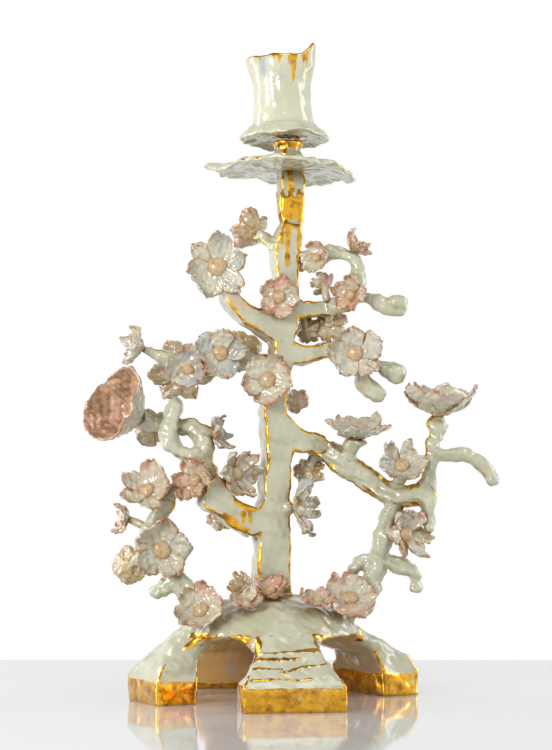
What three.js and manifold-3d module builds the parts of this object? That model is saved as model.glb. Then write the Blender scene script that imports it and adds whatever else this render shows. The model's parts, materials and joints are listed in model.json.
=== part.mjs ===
// A glazed clay candlestick in the shape of a flowering tree: a slab-built trunk on a four-footed
// domed base, modelled branches, hand-pinched flowers, and a candle cup over a drip pan.
// Millimetres, +Z up. The slab's front faces -Y and the feet stand on Z = 0.
import * as THREE from 'three';
import { mergeVertices } from 'three/addons/utils/BufferGeometryUtils.js';
import Module from 'manifold-3d';

const wasm = await Module();
wasm.setup();

// ---------- driving dimensions ----------
const DISPLAY_TURN = 15;        // degrees: the flowers are set out to be seen from the slab's left
const SEAM = 0.6;               // how far a neighbour is grown before it cuts a piece
const LEAST_BODY = 20;          // cubic mm: nothing smaller than this is a piece
const FACET = 0.03;             // detail finer than this is left out where pieces are cut
const ON_AXIS = 1e-6;

const DOME_TOP = 60;            // height of the ground that the trunk stands on
const DOME_RADIUS = 55;
const DOME_WALL = 9;
const DOME_CENTRE = [-4, 0];
const FOOT_OUT = 85;            // from the base's middle to a foot's outer face
const FOOT_IN = 62;
const FOOT_BAND = 13.5;         // height of a foot's upright gilded band
const FOOT_CREST = 39;          // height at which a foot's slope meets the dome
const LOW_SHOULDER = 18.5;      // height of a foot's outer face: front and back feet
const HIGH_SHOULDER = 23;       // and side feet

const SLAB_DEPTH = 18;          // thickness of the clay slab that the trunk is cut from
const STEM_DEPTH = 12;

const PAN_RADIUS = 45.5;
const PAN_RIM = 316;
const FLANGE_RADIUS = 28;
const FLANGE_RIM = 337.5;
const CUP_RADIUS = 19.5;
const CUP_BASE = 339.5;
const CUP_RIM = 383;
const CUP_FLICK = 9;            // how far the lip's tongue stands above the rim
const CUP_FLICK_AT = -10;       // degrees round the cup from +X
const CUP_FLICK_SPREAD = 0.22;  // radians
const CUP_LEAN = 0.04;          // the cup's outside leans to the left by this much for each mm up
const SOCKET_RADIUS = 15;
const SOCKET_FLOOR = 350;
const PAN_AT = [3, 0];          // middles of the turned pieces, across and behind, as seen
const FLANGE_AT = [5.5, 0];
const NECK_AT = [7, 0];
const CUP_AT = [4.5, 0];

const BUTTON_SHARE = 0.29;      // a flower's centre button beside its petals' reach
const BUTTON_LEAST = 2.6;
const BUTTON_FACE = 3.2;        // how far the button's flat face stands in front of the petals' root
const BOSS_BACK = 2.4;
const PETAL_NOTCH = 0.24;       // depth of the gap between two petals beside their reach
const PEG_RADIUS = 3;           // the peg that ties a flower to its branch

// ---------- finishes ----------
const CELADON = new THREE.MeshStandardMaterial({ color: 0xc6c5a8, roughness: 0.22, metalness: 0 });
const GOLD = new THREE.MeshStandardMaterial({ color: 0xc9952f, roughness: 0.3, metalness: 1 });
const PETAL_BLUE = new THREE.MeshStandardMaterial({ color: 0xbcc3c4, roughness: 0.22, metalness: 0 });
const PETAL_PINK = new THREE.MeshStandardMaterial({ color: 0xc9a89c, roughness: 0.22, metalness: 0 });
const PETAL_CREAM = new THREE.MeshStandardMaterial({ color: 0xc4b99a, roughness: 0.22, metalness: 0 });

// ---------- places ----------
const radians = THREE.MathUtils.degToRad;
const turnCos = Math.cos(radians(DISPLAY_TURN));
const turnSin = Math.sin(radians(DISPLAY_TURN));

// A place given as it is seen from the display side: across to the right, behind, and up.
function seen([across, behind, up]) {
  return new THREE.Vector3(
    across * turnCos + behind * turnSin,
    behind * turnCos - across * turnSin,
    up,
  );
}

// A point of the slab's front face, given as it is seen from the display side.
function onSlab([across, up], depth = SLAB_DEPTH) {
  return new THREE.Vector2((across - (depth / 2) * turnSin) / turnCos, up);
}

// ---------- solids ----------
function toSolid(geometry) {
  const bare = geometry.clone();
  bare.deleteAttribute('normal');
  bare.deleteAttribute('uv');
  const welded = mergeVertices(bare, 1e-4);
  const mesh = new wasm.Mesh({
    numProp: 3,
    vertProperties: new Float32Array(welded.attributes.position.array),
    triVerts: new Uint32Array(welded.index.array),
  });
  return new wasm.Manifold(mesh);
}

function toGeometry(solid) {
  const mesh = solid.getMesh();
  const geometry = new THREE.BufferGeometry();
  geometry.setAttribute('position', new THREE.BufferAttribute(mesh.vertProperties, 3));
  geometry.setIndex(new THREE.BufferAttribute(mesh.triVerts, 1));
  return geometry;
}

// The solid with its skin moved out along its vertex normals.
function grown(solid, by) {
  const geometry = toGeometry(solid);
  geometry.computeVertexNormals();
  const place = geometry.attributes.position;
  const normal = geometry.attributes.normal;
  for (let i = 0; i < place.count; i += 1) {
    place.setXYZ(
      i,
      place.getX(i) + by * normal.getX(i),
      place.getY(i) + by * normal.getY(i),
      place.getZ(i) + by * normal.getZ(i),
    );
  }
  return toSolid(geometry);
}

const largest = (solid) => solid.decompose().reduce((a, b) => (a.volume() > b.volume() ? a : b));
const joined = (geometries) => geometries.map(toSolid).reduce((a, b) => a.add(b));
const boxesMeet = (a, b) => [0, 1, 2].every((k) => a.min[k] < b.max[k] && b.min[k] < a.max[k]);

const tree = new THREE.Group();
const placed = [];

// Adds a piece, cut back to a narrow seam wherever it meets a piece that is already there.
function addPiece(name, geometries, material) {
  let solid = joined([geometries].flat());
  for (const neighbour of placed) {
    if (boxesMeet(solid.boundingBox(), neighbour.boundingBox())) {
      solid = solid.subtract(neighbour);
    }
  }
  solid = largest(solid.simplify(FACET));
  if (solid.volume() < LEAST_BODY) {
    throw new Error(`${name} is cut away`);
  }
  placed.push(solid.add(grown(solid, SEAM)));
  const mesh = new THREE.Mesh(toGeometry(solid), material);
  mesh.name = name;
  tree.add(mesh);
}

// ---------- base ----------
function baseDome() {
  const inner = DOME_RADIUS - 4;
  const profile = [
    [0, DOME_TOP], [20, DOME_TOP - 0.7], [35, DOME_TOP - 4.5], [47, DOME_TOP - 12],
    [DOME_RADIUS, DOME_TOP - 21], [DOME_RADIUS - 0.5, DOME_TOP - 25], [inner, DOME_TOP - 25.5],
    [40, DOME_TOP - 17], [22, DOME_TOP - DOME_WALL - 1.5], [0, DOME_TOP - DOME_WALL],
  ].reverse().map(([r, z]) => new THREE.Vector2(r, z));
  const geometry = new THREE.LatheGeometry(profile, 28);
  geometry.rotateX(Math.PI / 2);
  const centre = seen([...DOME_CENTRE, 0]);
  geometry.translate(centre.x, centre.y, 0);
  return geometry;
}

// A foot: an upright block up to its shoulder, then a slope that runs up under the dome's edge.
function foot(middle, facing, width, topWidth, shoulder) {
  const thick = FOOT_OUT - FOOT_IN;
  const outline = new THREE.Shape([
    [0, 0], [thick, 0], [thick + 0.5, FOOT_BAND], [thick - 3, shoulder],
    [10, (shoulder + FOOT_CREST) / 2 - 0.5],
    [-4, FOOT_CREST - 3], [-16, FOOT_CREST + 2], [-17, FOOT_CREST - 4], [-5, 27], [-1, 14],
  ].map(([x, z]) => new THREE.Vector2(x, z)));
  const geometry = new THREE.ExtrudeGeometry(outline, { depth: width, steps: 2, bevelEnabled: false });
  geometry.translate(-thick / 2, 0, -width / 2);
  geometry.rotateX(Math.PI / 2);
  const place = geometry.attributes.position;
  for (let i = 0; i < place.count; i += 1) {
    const rise = THREE.MathUtils.smoothstep(place.getZ(i), FOOT_BAND, FOOT_CREST - 2);
    place.setY(i, place.getY(i) * THREE.MathUtils.lerp(1, topWidth / width, rise));
  }
  geometry.rotateZ(radians(facing - DISPLAY_TURN));
  const centre = seen([...middle, 0]);
  geometry.translate(centre.x, centre.y, 0);
  return geometry;
}

// ---------- trunk ----------
function slab(outline, depth = SLAB_DEPTH) {
  const shape = new THREE.Shape(outline.map((point) => onSlab(point, depth)));
  const geometry = new THREE.ExtrudeGeometry(shape, { depth, bevelEnabled: false });
  geometry.translate(0, 0, -depth / 2);
  geometry.rotateX(Math.PI / 2);
  return geometry;
}

const TRUNK_LOWER = [
  [-10.4, 57.5], [10.4, 57.5], [8, 68], [8.6, 97.5], [8, 118],
  [-6.6, 118], [-9, 112.5], [-11, 111.5], [-14, 112.5], [-19, 114], [-23, 117], [-27.4, 123],
  [-33, 131],
  [-40, 127], [-43, 115], [-39.6, 111.5], [-34, 108.5], [-28, 102.5], [-21.5, 99], [-14, 95],
  [-9.3, 97.5],
];
const TRUNK_MIDDLE = [
  [-6.6, 118], [8, 118], [9, 135], [10.2, 146.5], [13.2, 146], [21.2, 146], [25.7, 143], [32, 140],
  [34, 149], [29, 154.5], [24, 156.5], [18.8, 157], [15.8, 159], [11.4, 163.5], [7.8, 166.5],
  [6.6, 168.5],
  [6, 174], [8.4, 188.5], [10, 198.5], [0, 202.5], [-3, 186.5], [-6.6, 170], [-4.9, 152.5], [-4.5, 139],
  [-5.7, 133],
];
const TRUNK_UPPER = [
  [0, 202.5], [10, 198.5], [12.6, 198], [20.4, 199.5], [29.4, 202], [36, 203.5], [37, 212.5],
  [34, 212.5],
  [26.4, 209.5], [18, 208.5], [11.4, 210.5], [10.8, 210], [12.4, 217.5], [12.8, 225], [24, 227],
  [34, 228], [36, 237.5], [15.8, 234.5], [13.5, 237.5], [13.1, 248], [13.8, 256.5], [15, 269.5],
  [15.6, 282.5],
  [5.5, 282.5], [2.8, 276], [0, 270], [0.2, 261], [1.2, 251], [-1, 233], [-10, 229.5], [-15.4, 232],
  [-19.7, 236], [-24, 244], [-31, 243], [-29, 235], [-22.7, 227], [-17.8, 221.5], [-11, 218],
  [-4, 213.5],
  [0, 210.5],
];
const TOP_STEM = [
  [5.5, 282.5], [15.6, 282.5], [17.1, 296.5], [17.1, 303.5], [16.5, 322], [3.4, 322],
  [3.9, 304.5], [3.4, 293.5],
];

// ---------- candle holder ----------
// A piece turned about an upright axis at middle, [across, behind] as seen. Its rim may wave:
// wave(angle, reach) gives how far a point off the axis is lifted.
function turned(profile, middle, segments, wave = () => 0) {
  const points = profile.map(([r, z]) => new THREE.Vector2(r, z));
  const geometry = new THREE.LatheGeometry(points, segments);
  geometry.rotateX(Math.PI / 2);
  const place = geometry.attributes.position;
  for (let i = 0; i < place.count; i += 1) {
    const reach = Math.hypot(place.getX(i), place.getY(i));
    const angle = Math.atan2(place.getY(i), place.getX(i));
    place.setZ(i, place.getZ(i) + (reach > ON_AXIS ? wave(angle, reach) : 0));
  }
  const centre = seen([...middle, 0]);
  geometry.translate(centre.x, centre.y, 0);
  return geometry;
}

function dripPan() {
  const profile = [
    [0, PAN_RIM + 3.5], [12, PAN_RIM + 3], [30, PAN_RIM + 1],
    [PAN_RADIUS - 1, PAN_RIM - 1.5], [PAN_RADIUS, PAN_RIM + 0.5],
    [30, PAN_RIM + 3.5], [12, PAN_RIM + 7], [0, PAN_RIM + 7.5],
  ];
  const wave = (angle, reach) => (reach / PAN_RADIUS) ** 3
    * (2.6 * Math.sin(3 * angle + 0.4) + 1.5 * Math.sin(7 * angle + 2) - 2.5 * Math.cos(angle + 0.9));
  return turned(profile, PAN_AT, 32, wave);
}

function cupFlange() {
  const shoulder = FLANGE_RADIUS - 7;
  const profile = [
    [0, FLANGE_RIM - 4], [9, FLANGE_RIM - 4], [shoulder - 1, FLANGE_RIM - 3.5],
    [FLANGE_RADIUS, FLANGE_RIM - 1.6], [FLANGE_RADIUS, FLANGE_RIM + 1],
    [shoulder, CUP_BASE], [0, CUP_BASE],
  ];
  const wave = (angle, reach) => Math.max(0, (reach - shoulder) / (FLANGE_RADIUS - shoulder))
    * (1.6 * Math.sin(5 * angle) + 1.1 * Math.sin(8 * angle + 1));
  return turned(profile, FLANGE_AT, 26, wave);
}

// The cup: its outside leans a little and its ragged rim has one tongue; its socket is upright.
function candleCup() {
  const profile = [
    [0, CUP_BASE], [CUP_RADIUS - 1, CUP_BASE], [CUP_RADIUS, CUP_BASE + 12],
    [CUP_RADIUS - 0.5, CUP_RIM - 12], [CUP_RADIUS, CUP_RIM], [CUP_RADIUS - 3, CUP_RIM],
    [SOCKET_RADIUS, CUP_RIM - 6], [SOCKET_RADIUS, SOCKET_FLOOR], [0, SOCKET_FLOOR],
  ];
  const geometry = turned(profile, CUP_AT, 24);
  const centre = seen([...CUP_AT, 0]);
  const place = geometry.attributes.position;
  for (let i = 0; i < place.count; i += 1) {
    const height = place.getZ(i);
    const reach = Math.hypot(place.getX(i) - centre.x, place.getY(i) - centre.y);
    const angle = Math.atan2(place.getY(i) - centre.y, place.getX(i) - centre.x);
    const atRim = THREE.MathUtils.smoothstep(height, CUP_RIM - 1, CUP_RIM);
    const flick = CUP_FLICK * Math.exp(-(((angle - radians(CUP_FLICK_AT)) / CUP_FLICK_SPREAD) ** 2));
    const ragged = 1.2 * Math.sin(4 * angle + 1) + 0.8 * Math.sin(9 * angle);
    const lean = reach > SOCKET_RADIUS + 0.1 ? CUP_LEAN * (height - CUP_BASE) : 0;
    place.setX(i, place.getX(i) - lean);
    place.setZ(i, height + atRim * (flick + ragged));
  }
  return geometry;
}

function neck() {
  const profile = [
    [0, PAN_RIM + 2], [8.5, PAN_RIM + 2], [8, FLANGE_RIM - 9], [9, FLANGE_RIM - 2], [0, FLANGE_RIM - 2],
  ];
  return turned(profile, NECK_AT, 10);
}

// ---------- branches ----------
// A rounded length of clay along a route; radii run evenly from its first point to its last.
function limb(route, radii, sides = 7) {
  const curve = new THREE.CatmullRomCurve3(route.map(seen));
  const steps = Math.round(1.6 * (route.length - 1));
  const frames = curve.computeFrenetFrames(steps, false);
  const geometry = new THREE.CylinderGeometry(1, 1, 1, sides, steps);
  const place = geometry.attributes.position;
  for (let i = 0; i < place.count; i += 1) {
    const along = 0.5 - place.getY(i);
    const ring = Math.round(along * steps);
    const slot = along * (radii.length - 1);
    const low = Math.min(Math.floor(slot), radii.length - 2);
    const radius = THREE.MathUtils.lerp(radii[low], radii[low + 1], slot - low);
    const point = curve.getPointAt(ring / steps)
      .addScaledVector(frames.normals[ring], radius * place.getX(i))
      .addScaledVector(frames.binormals[ring], radius * place.getZ(i));
    place.setXYZ(i, point.x, point.y, point.z);
  }
  return geometry;
}

const LIMBS = {
  left_bough: [
    limb([[-38, -8, 121], [-42, -7, 131], [-43, -5, 143], [-43, -3, 153.5], [-52, -2, 161.5],
      [-63, -2, 159.5],
      [-76, -3, 163.5], [-86, -5, 168.5]], [8, 6.5, 5, 4.5]),
  ],
  bud_hook: [
    limb([[-41, -8, 142], [-50, -10, 142], [-58, -11, 144], [-63, -11, 152.5], [-64, -10, 163.5],
      [-61, -9, 173.5]],
      [4, 4.5, 5, 5.5]),
  ],
  left_loop: [
    limb([[-40, -8, 125], [-52, -6, 128], [-62, -5, 121], [-70, -4, 109], [-76, -6, 97.5]],
      [6, 5, 5, 5]),
  ],
  left_loop_root: [
    limb([[-44, -14, 53.5], [-53, -13, 63], [-61, -12, 73], [-65, -11, 81.5], [-70, -8, 93.5]],
      [8, 6, 5, 4]),
    limb([[-57, -12, 68], [-66, -12, 65], [-72, -12, 63]], [4, 4.5, 3.5], 6),
  ],
  left_side_branch: [
    limb([[-2, 2, 196.5], [-18, 2, 201.5], [-36, 0, 200.5], [-54, -4, 198.5], [-68, -6, 201.5],
      [-76, -8, 205.5]],
      [6, 5, 4.5, 4]),
  ],
  crown_twig: [
    limb([[4, 0, 268], [-5, 4, 273], [-11, 7, 278.5]], [4.5, 4, 3], 6),
  ],
  upper_right_loop: [
    limb([[12, 0, 259], [24, 1, 263], [38, 1, 266], [47, 0, 261], [49, -2, 251], [47, -4, 241]],
      [5, 5, 4.5, 4.5]),
    limb([[32, 0, 233], [42, -3, 236], [54, -5, 237], [64, -5, 233], [74, -5, 233]], [5, 4, 4, 4, 6.5]),
  ],
  forked_twig: [
    limb([[32, -1, 208.5], [42, -3, 204.5], [49, -5, 196.5], [53, -6, 186.5], [63, -6, 177.5]],
      [5, 5, 5, 6, 4]),
    limb([[46, -4, 201.5], [60, -3, 197.5], [74, -2, 191.5]], [4, 4.5, 5.5], 6),
  ],
  right_bough: [
    limb([[30, -1, 147], [42, -2, 138], [56, -3, 128], [70, -4, 120], [83, -4, 119], [91, -4, 125]],
      [7, 7, 7, 7, 6]),
    limb([[89, -4, 121], [90, -4, 111], [91, -4, 100.5]], [5, 4.5, 3.5], 6),
  ],
  bloom_stem: [
    limb([[42, -4, 139], [45, -6, 148], [48, -7, 154.5]], [4, 5, 7.5]),
  ],
  right_riser: [
    limb([[90, -4, 124], [92, -3, 137], [94, -1, 149], [98, 0, 162.5]], [5, 4, 4, 5]),
    limb([[93, -2, 143], [103, 0, 144], [114, 2, 143], [125, 3, 137], [131, 3, 127]],
      [4, 4, 4.5, 4.5, 3]),
  ],
  right_loop: [
    limb([[70, -4, 116], [66, -3, 103.5], [63, -2, 91.5], [61, -1, 79.5], [56, -1, 68], [48, -2, 53.5]],
      [6, 6, 5.5, 6, 8]),
    limb([[62, -1, 82.5], [53, 1, 80.5], [46, 2, 75]], [4, 4, 3.5], 6),
    limb([[64, -1, 81.5], [75, 0, 79], [83, 0, 72], [83, 0, 65]], [4, 4.5, 4.5, 3.5], 6),
  ],
};

// ---------- flowers ----------
// A flower is a dished plate of petals with a flat button in front and a boss behind, by which
// a short peg ties it to the clay at its root. facing is [turn to the right, tilt up] in degrees.
function flower(centre, radius, facing, { petals = 5, dish, root }) {
  const button = Math.max(BUTTON_LEAST, BUTTON_SHARE * radius);
  const rim = dish * radius;
  const profile = [
    [0, -BOSS_BACK], [0.55 * radius, 0.3 * rim - 1.4], [radius, rim - 0.8], [radius, rim + 0.8],
    [button, 1], [button, BUTTON_FACE], [0, BUTTON_FACE],
  ].map(([r, y]) => new THREE.Vector2(r, y));
  const geometry = new THREE.LatheGeometry(profile, 3 * petals);
  const place = geometry.attributes.position;
  for (let i = 0; i < place.count; i += 1) {
    const reach = Math.hypot(place.getX(i), place.getZ(i));
    const angle = Math.atan2(place.getZ(i), place.getX(i));
    const share = THREE.MathUtils.smoothstep(reach / radius, 0.4, 1);
    const notch = 1 - PETAL_NOTCH * share * (1 - Math.abs(Math.cos(0.5 * petals * angle)));
    place.setX(i, place.getX(i) * notch);
    place.setZ(i, place.getZ(i) * notch);
  }
  const [turn, tilt] = facing.map(radians);
  const out = seen([
    Math.sin(turn) * Math.cos(tilt),
    -Math.cos(turn) * Math.cos(tilt),
    Math.sin(tilt),
  ]);
  geometry.applyQuaternion(new THREE.Quaternion().setFromUnitVectors(new THREE.Vector3(0, 1, 0), out));
  const middle = seen(centre);
  geometry.translate(middle.x, middle.y, middle.z);
  return [geometry, limb([centre, root], [PEG_RADIUS, PEG_RADIUS], 6)];
}

const FLOWERS = [
  ['flower_crown_left', [-35, -14, 255], 20, [0, 0], PETAL_BLUE,
    { petals: 6, dish: 0.3, root: [-29, -8, 240] }],
  ['flower_crown_twig', [-13, 10, 278.5], 14, [-145, 35], PETAL_PINK,
    { dish: 0.5, root: [-9, 6, 276] }],
  ['flower_trunk_top', [2, -13, 237], 13, [0, 0], PETAL_PINK, { dish: 0.25, root: [3, -4, 237] }],
  ['flower_loop_front', [25, -8, 261], 9.5, [-30, 5], PETAL_PINK, { dish: 0.6, root: [25, 1, 263] }],
  ['flower_loop_top', [47, 2, 268], 9.5, [60, 45], PETAL_PINK, { dish: 0.5, root: [45, 1, 264] }],
  ['flower_loop_end', [45, -11.5, 238.5], 11.5, [-30, 0], PETAL_PINK,
    { dish: 0.4, root: [46, -4, 239] }],
  ['flower_right_back', [32, 8, 223.5], 11, [170, -20], PETAL_CREAM,
    { dish: 0.4, root: [30, 0, 231.5] }],
  ['flower_fork_front', [47, -14, 203.5], 17.5, [-8, 0], PETAL_BLUE,
    { dish: 0.3, root: [45, -4, 202.5] }],
  ['flower_side_tip', [-81, -10, 207.5], 12, [-70, 10], PETAL_BLUE,
    { dish: 0.45, root: [-74, -8, 204.5] }],
  ['flower_side_back', [-58, 8, 194.5], 20, [175, 5], PETAL_CREAM,
    { dish: 0.25, root: [-58, -3, 199.5] }],
  ['flower_side_middle', [-52, -16, 193.5], 12, [-5, 0], PETAL_BLUE,
    { petals: 4, dish: 0.5, root: [-52, -4, 198.5] }],
  ['flower_side_front', [-33, -14, 203.5], 16, [5, 0], PETAL_BLUE,
    { dish: 0.3, root: [-34, 0, 200.5] }],
  ['flower_side_inner', [-21, 12, 206.5], 13, [178, 5], PETAL_CREAM,
    { dish: 0.3, root: [-20, 2, 202.5] }],
  ['flower_trunk_middle', [-5, -15, 187.5], 17, [-5, 0], PETAL_BLUE,
    { dish: 0.3, root: [1, -6, 188.5] }],
  ['flower_great_cup', [-87, 0, 168.5], 20, [-50, 20], PETAL_PINK,
    { petals: 6, dish: 0.95, root: [-82, 0, 166.5] }],
  ['flower_bough_back', [-76, 8, 160.5], 12, [165, 0], PETAL_CREAM,
    { dish: 0.4, root: [-72, -2, 161.5] }],
  ['flower_bough_inner', [-36, -4, 156.5], 12, [75, 10], PETAL_BLUE,
    { dish: 0.35, root: [-43, -3, 152.5] }],
  ['flower_bough_right', [-24, -8, 132], 16, [40, 5], PETAL_BLUE, { dish: 0.35, root: [-34, 0, 127] }],
  ['flower_bough_front', [-47, -19, 128], 13, [-25, 5], PETAL_PINK,
    { petals: 6, dish: 0.4, root: [-43, -8, 128] }],
  ['flower_loop_bowl', [-76, -13, 122], 16, [-5, 25], PETAL_PINK, { dish: 0.5, root: [-66, -5, 114] }],
  ['flower_left_front', [-67, -17, 87.5], 18, [5, 0], PETAL_BLUE, { dish: 0.3, root: [-67, -9, 87.5] }],
  ['flower_left_back', [-88, -2, 78], 12, [165, 0], PETAL_CREAM, { dish: 0.4, root: [-72, -8, 91.5] }],
  ['flower_dome_left', [-43, -38, 53], 15.5, [-10, 28], PETAL_BLUE,
    { dish: 0.35, root: [-38, -24, 46.5] }],
  ['flower_dome_front_left', [-17, -37, 56.5], 9.6, [-5, 60], PETAL_PINK,
    { dish: 0.5, root: [-16, -34, 48.5] }],
  ['flower_trunk_foot', [-3, -18, 63], 10.5, [0, 55], PETAL_PINK, { dish: 0.4, root: [-3, -14, 55.5] }],
  ['flower_trunk_rear', [-19, 12, 64], 9, [-140, 20], PETAL_PINK, { dish: 0.5, root: [-15, 8, 55.5] }],
  ['flower_dome_front_right', [24, -31, 57.5], 10.5, [0, 65], PETAL_PINK,
    { dish: 0.5, root: [22, -28, 48.5] }],
  ['flower_dome_right', [43, -20, 59], 16.5, [8, 42], PETAL_PINK, { dish: 0.35, root: [40, -10, 48.5] }],
  ['flower_trunk_right', [13, -8, 112], 18.5, [68, 5], PETAL_BLUE,
    { petals: 6, dish: 0.3, root: [6, 0, 112] }],
  ['flower_bough_under', [20, 8, 136], 10.5, [175, -35], PETAL_PINK, { dish: 0.4, root: [26, 2, 145] }],
  ['flower_right_bowl', [49, -7, 155.5], 19, [0, 70], PETAL_BLUE,
    { petals: 6, dish: 0.45, root: [47, -6, 151] }],
  ['flower_right_front', [74, -14, 136], 15.5, [8, 35], PETAL_BLUE,
    { dish: 0.35, root: [74, -4, 122] }],
  ['flower_riser_trumpet', [98, 0, 169.5], 22.5, [10, 80], PETAL_BLUE,
    { petals: 6, dish: 0.6, root: [97, 0, 159.5] }],
  ['flower_right_loop', [76, -9, 96.5], 16.5, [38, 5], PETAL_BLUE, { dish: 0.3, root: [66, -3, 97.5] }],
];

// ---------- assembly ----------
addPiece('base_dome', baseDome(), CELADON);
addPiece('foot_front', foot([9, -73.5], 278, 57, 33, LOW_SHOULDER), CELADON);
addPiece('foot_left', foot([-66, -25], 208, 42, 36, HIGH_SHOULDER), CELADON);
addPiece('foot_back', foot([-21, 73.5], 100, 76, 58, LOW_SHOULDER), CELADON);
addPiece('foot_right', foot([61, 40], 30, 58, 48, HIGH_SHOULDER), CELADON);
addPiece('trunk_lower', slab(TRUNK_LOWER), CELADON);
addPiece('trunk_middle', slab(TRUNK_MIDDLE), CELADON);
addPiece('trunk_upper', slab(TRUNK_UPPER), CELADON);
addPiece('trunk_stem', slab(TOP_STEM, STEM_DEPTH), GOLD);
addPiece('drip_pan', dripPan(), CELADON);
addPiece('cup_flange', cupFlange(), CELADON);
addPiece('cup_neck', neck(), CELADON);
addPiece('candle_cup', candleCup(), CELADON);
for (const [name, lengths] of Object.entries(LIMBS)) {
  addPiece(name, lengths, CELADON);
}
for (const [name, centre, radius, facing, glaze, shape] of FLOWERS) {
  addPiece(name, flower(centre, radius, facing, shape), glaze);
}

// The group's origin is the middle of the ground that the object covers.
const bounds = new THREE.Box3().setFromObject(tree);
tree.position.set(-(bounds.min.x + bounds.max.x) / 2, -(bounds.min.y + bounds.max.y) / 2, -bounds.min.z);

export default tree;
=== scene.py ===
"""Looks for the flowering-tree candlestick: hand-worked glazed clay, pinched flowers, fired gold lustre.

The clay of the base, trunk and branches is one blended surface, as luted clay is, and it is cut back
into one piece for each CAD node. Flowers are built petal by petal on the places of their CAD nodes.
"""
import json
import math

import bmesh
import bpy
import numpy as np
from mathutils import Matrix, Vector
from mathutils.bvhtree import BVHTree
from mathutils.kdtree import KDTree


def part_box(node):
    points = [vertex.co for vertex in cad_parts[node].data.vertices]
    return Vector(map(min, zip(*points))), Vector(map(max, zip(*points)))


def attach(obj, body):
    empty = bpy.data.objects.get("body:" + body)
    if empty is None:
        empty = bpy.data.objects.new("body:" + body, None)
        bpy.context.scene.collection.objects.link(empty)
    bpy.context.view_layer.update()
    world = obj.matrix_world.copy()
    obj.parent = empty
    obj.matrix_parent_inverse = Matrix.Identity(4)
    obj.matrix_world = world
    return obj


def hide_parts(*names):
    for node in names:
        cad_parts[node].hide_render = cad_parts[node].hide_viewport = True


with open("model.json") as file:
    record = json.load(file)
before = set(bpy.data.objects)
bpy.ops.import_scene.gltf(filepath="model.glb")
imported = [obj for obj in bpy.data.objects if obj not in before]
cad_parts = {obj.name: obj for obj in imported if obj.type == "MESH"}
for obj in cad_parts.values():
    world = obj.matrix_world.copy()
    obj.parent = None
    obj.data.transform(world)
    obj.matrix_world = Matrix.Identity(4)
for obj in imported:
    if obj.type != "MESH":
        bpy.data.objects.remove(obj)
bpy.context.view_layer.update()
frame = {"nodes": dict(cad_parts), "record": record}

MM = 0.001
NODES = frame["nodes"]

# ---------- the display side ----------
DISPLAY_TURN = math.radians(15)
RIGHT = np.array([math.cos(DISPLAY_TURN), -math.sin(DISPLAY_TURN), 0.0])
BEHIND = np.array([math.sin(DISPLAY_TURN), math.cos(DISPLAY_TURN), 0.0])
UP = np.array([0.0, 0.0, 1.0])
DOME_OFFSET = 4 * MM  # the trunk's foot stands this far right of the dome's middle
dome_low, dome_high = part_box("base_dome")
DOME_MIDDLE = np.array([(dome_low[0] + dome_high[0]) / 2, (dome_low[1] + dome_high[1]) / 2, 0.0])
AXIS = DOME_MIDDLE + DOME_OFFSET * RIGHT

# ---------- clay ----------
VOXEL = 1.0 * MM  # the fineness of the blended clay
CLOSING = 0.38 * MM  # how far each CAD solid grows, so that the seams between them close
PEG_RADIUS = 2.9 * MM  # the clay that joins a flower to its branch
SMOOTHING = 6  # rounds
GOLD_RAISE = 0.45 * MM  # how far a line of gold stands proud

# ---------- flowers ----------
BUTTON_SHARE = 0.29  # a flower's button beside its petals' reach, as in the CAD flower
BUTTON_FACE = 3.2 * MM  # the CAD button's flat face stands this far in front of the flower's root
PETAL_THICKNESS = 1.5 * MM


def seen(across, behind, up):
    """A place, in metres, from millimetres right of the trunk's axis, behind it and up."""
    return AXIS + MM * (across * RIGHT + behind * BEHIND + up * UP)


def waves(points, size, seed, count=10):
    """Smooth lumps from about -1 to 1 over points, a sum of plane waves of about this size."""
    rng = np.random.default_rng(seed)
    total = np.zeros(len(points))
    for _ in range(count):
        direction = rng.normal(size=3)
        direction *= rng.uniform(0.7, 1.6) / (np.linalg.norm(direction) * size)
        total += np.sin(2 * math.pi * points @ direction + rng.uniform(0, 2 * math.pi))
    return total / math.sqrt(count)


def smoothstep(low, high, value):
    share = np.clip((value - low) / (high - low), 0, 1)
    return share * share * (3 - 2 * share)


# ---------- meshes ----------
def points_of(mesh):
    flat = np.empty(len(mesh.vertices) * 3)
    mesh.vertices.foreach_get("co", flat)
    return flat.reshape(-1, 3)


def normals_of(mesh):
    flat = np.empty(len(mesh.vertices) * 3)
    mesh.vertex_normals.foreach_get("vector", flat)
    return flat.reshape(-1, 3)


def set_points(mesh, points):
    mesh.vertices.foreach_set("co", np.asarray(points).ravel())
    mesh.update()


def make_mesh(name, points, faces):
    mesh = bpy.data.meshes.new(name)
    mesh.from_pydata([tuple(p) for p in points], [], [tuple(int(i) for i in f) for f in faces])
    mesh.update()
    return mesh


def make_object(name, mesh, material=None):
    obj = bpy.data.objects.new(name, mesh)
    bpy.context.scene.collection.objects.link(obj)
    if material:
        mesh.materials.clear()
        mesh.materials.append(material)
    mesh.polygons.foreach_set("use_smooth", [True] * len(mesh.polygons))
    return obj


def applied(obj):
    """The object's mesh with its modifiers applied; the object is then removed."""
    graph = bpy.context.evaluated_depsgraph_get()
    result = bpy.data.meshes.new_from_object(
        obj.evaluated_get(graph), preserve_all_data_layers=True, depsgraph=graph
    )
    result.name = obj.name
    bpy.data.objects.remove(obj)
    return result


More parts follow.
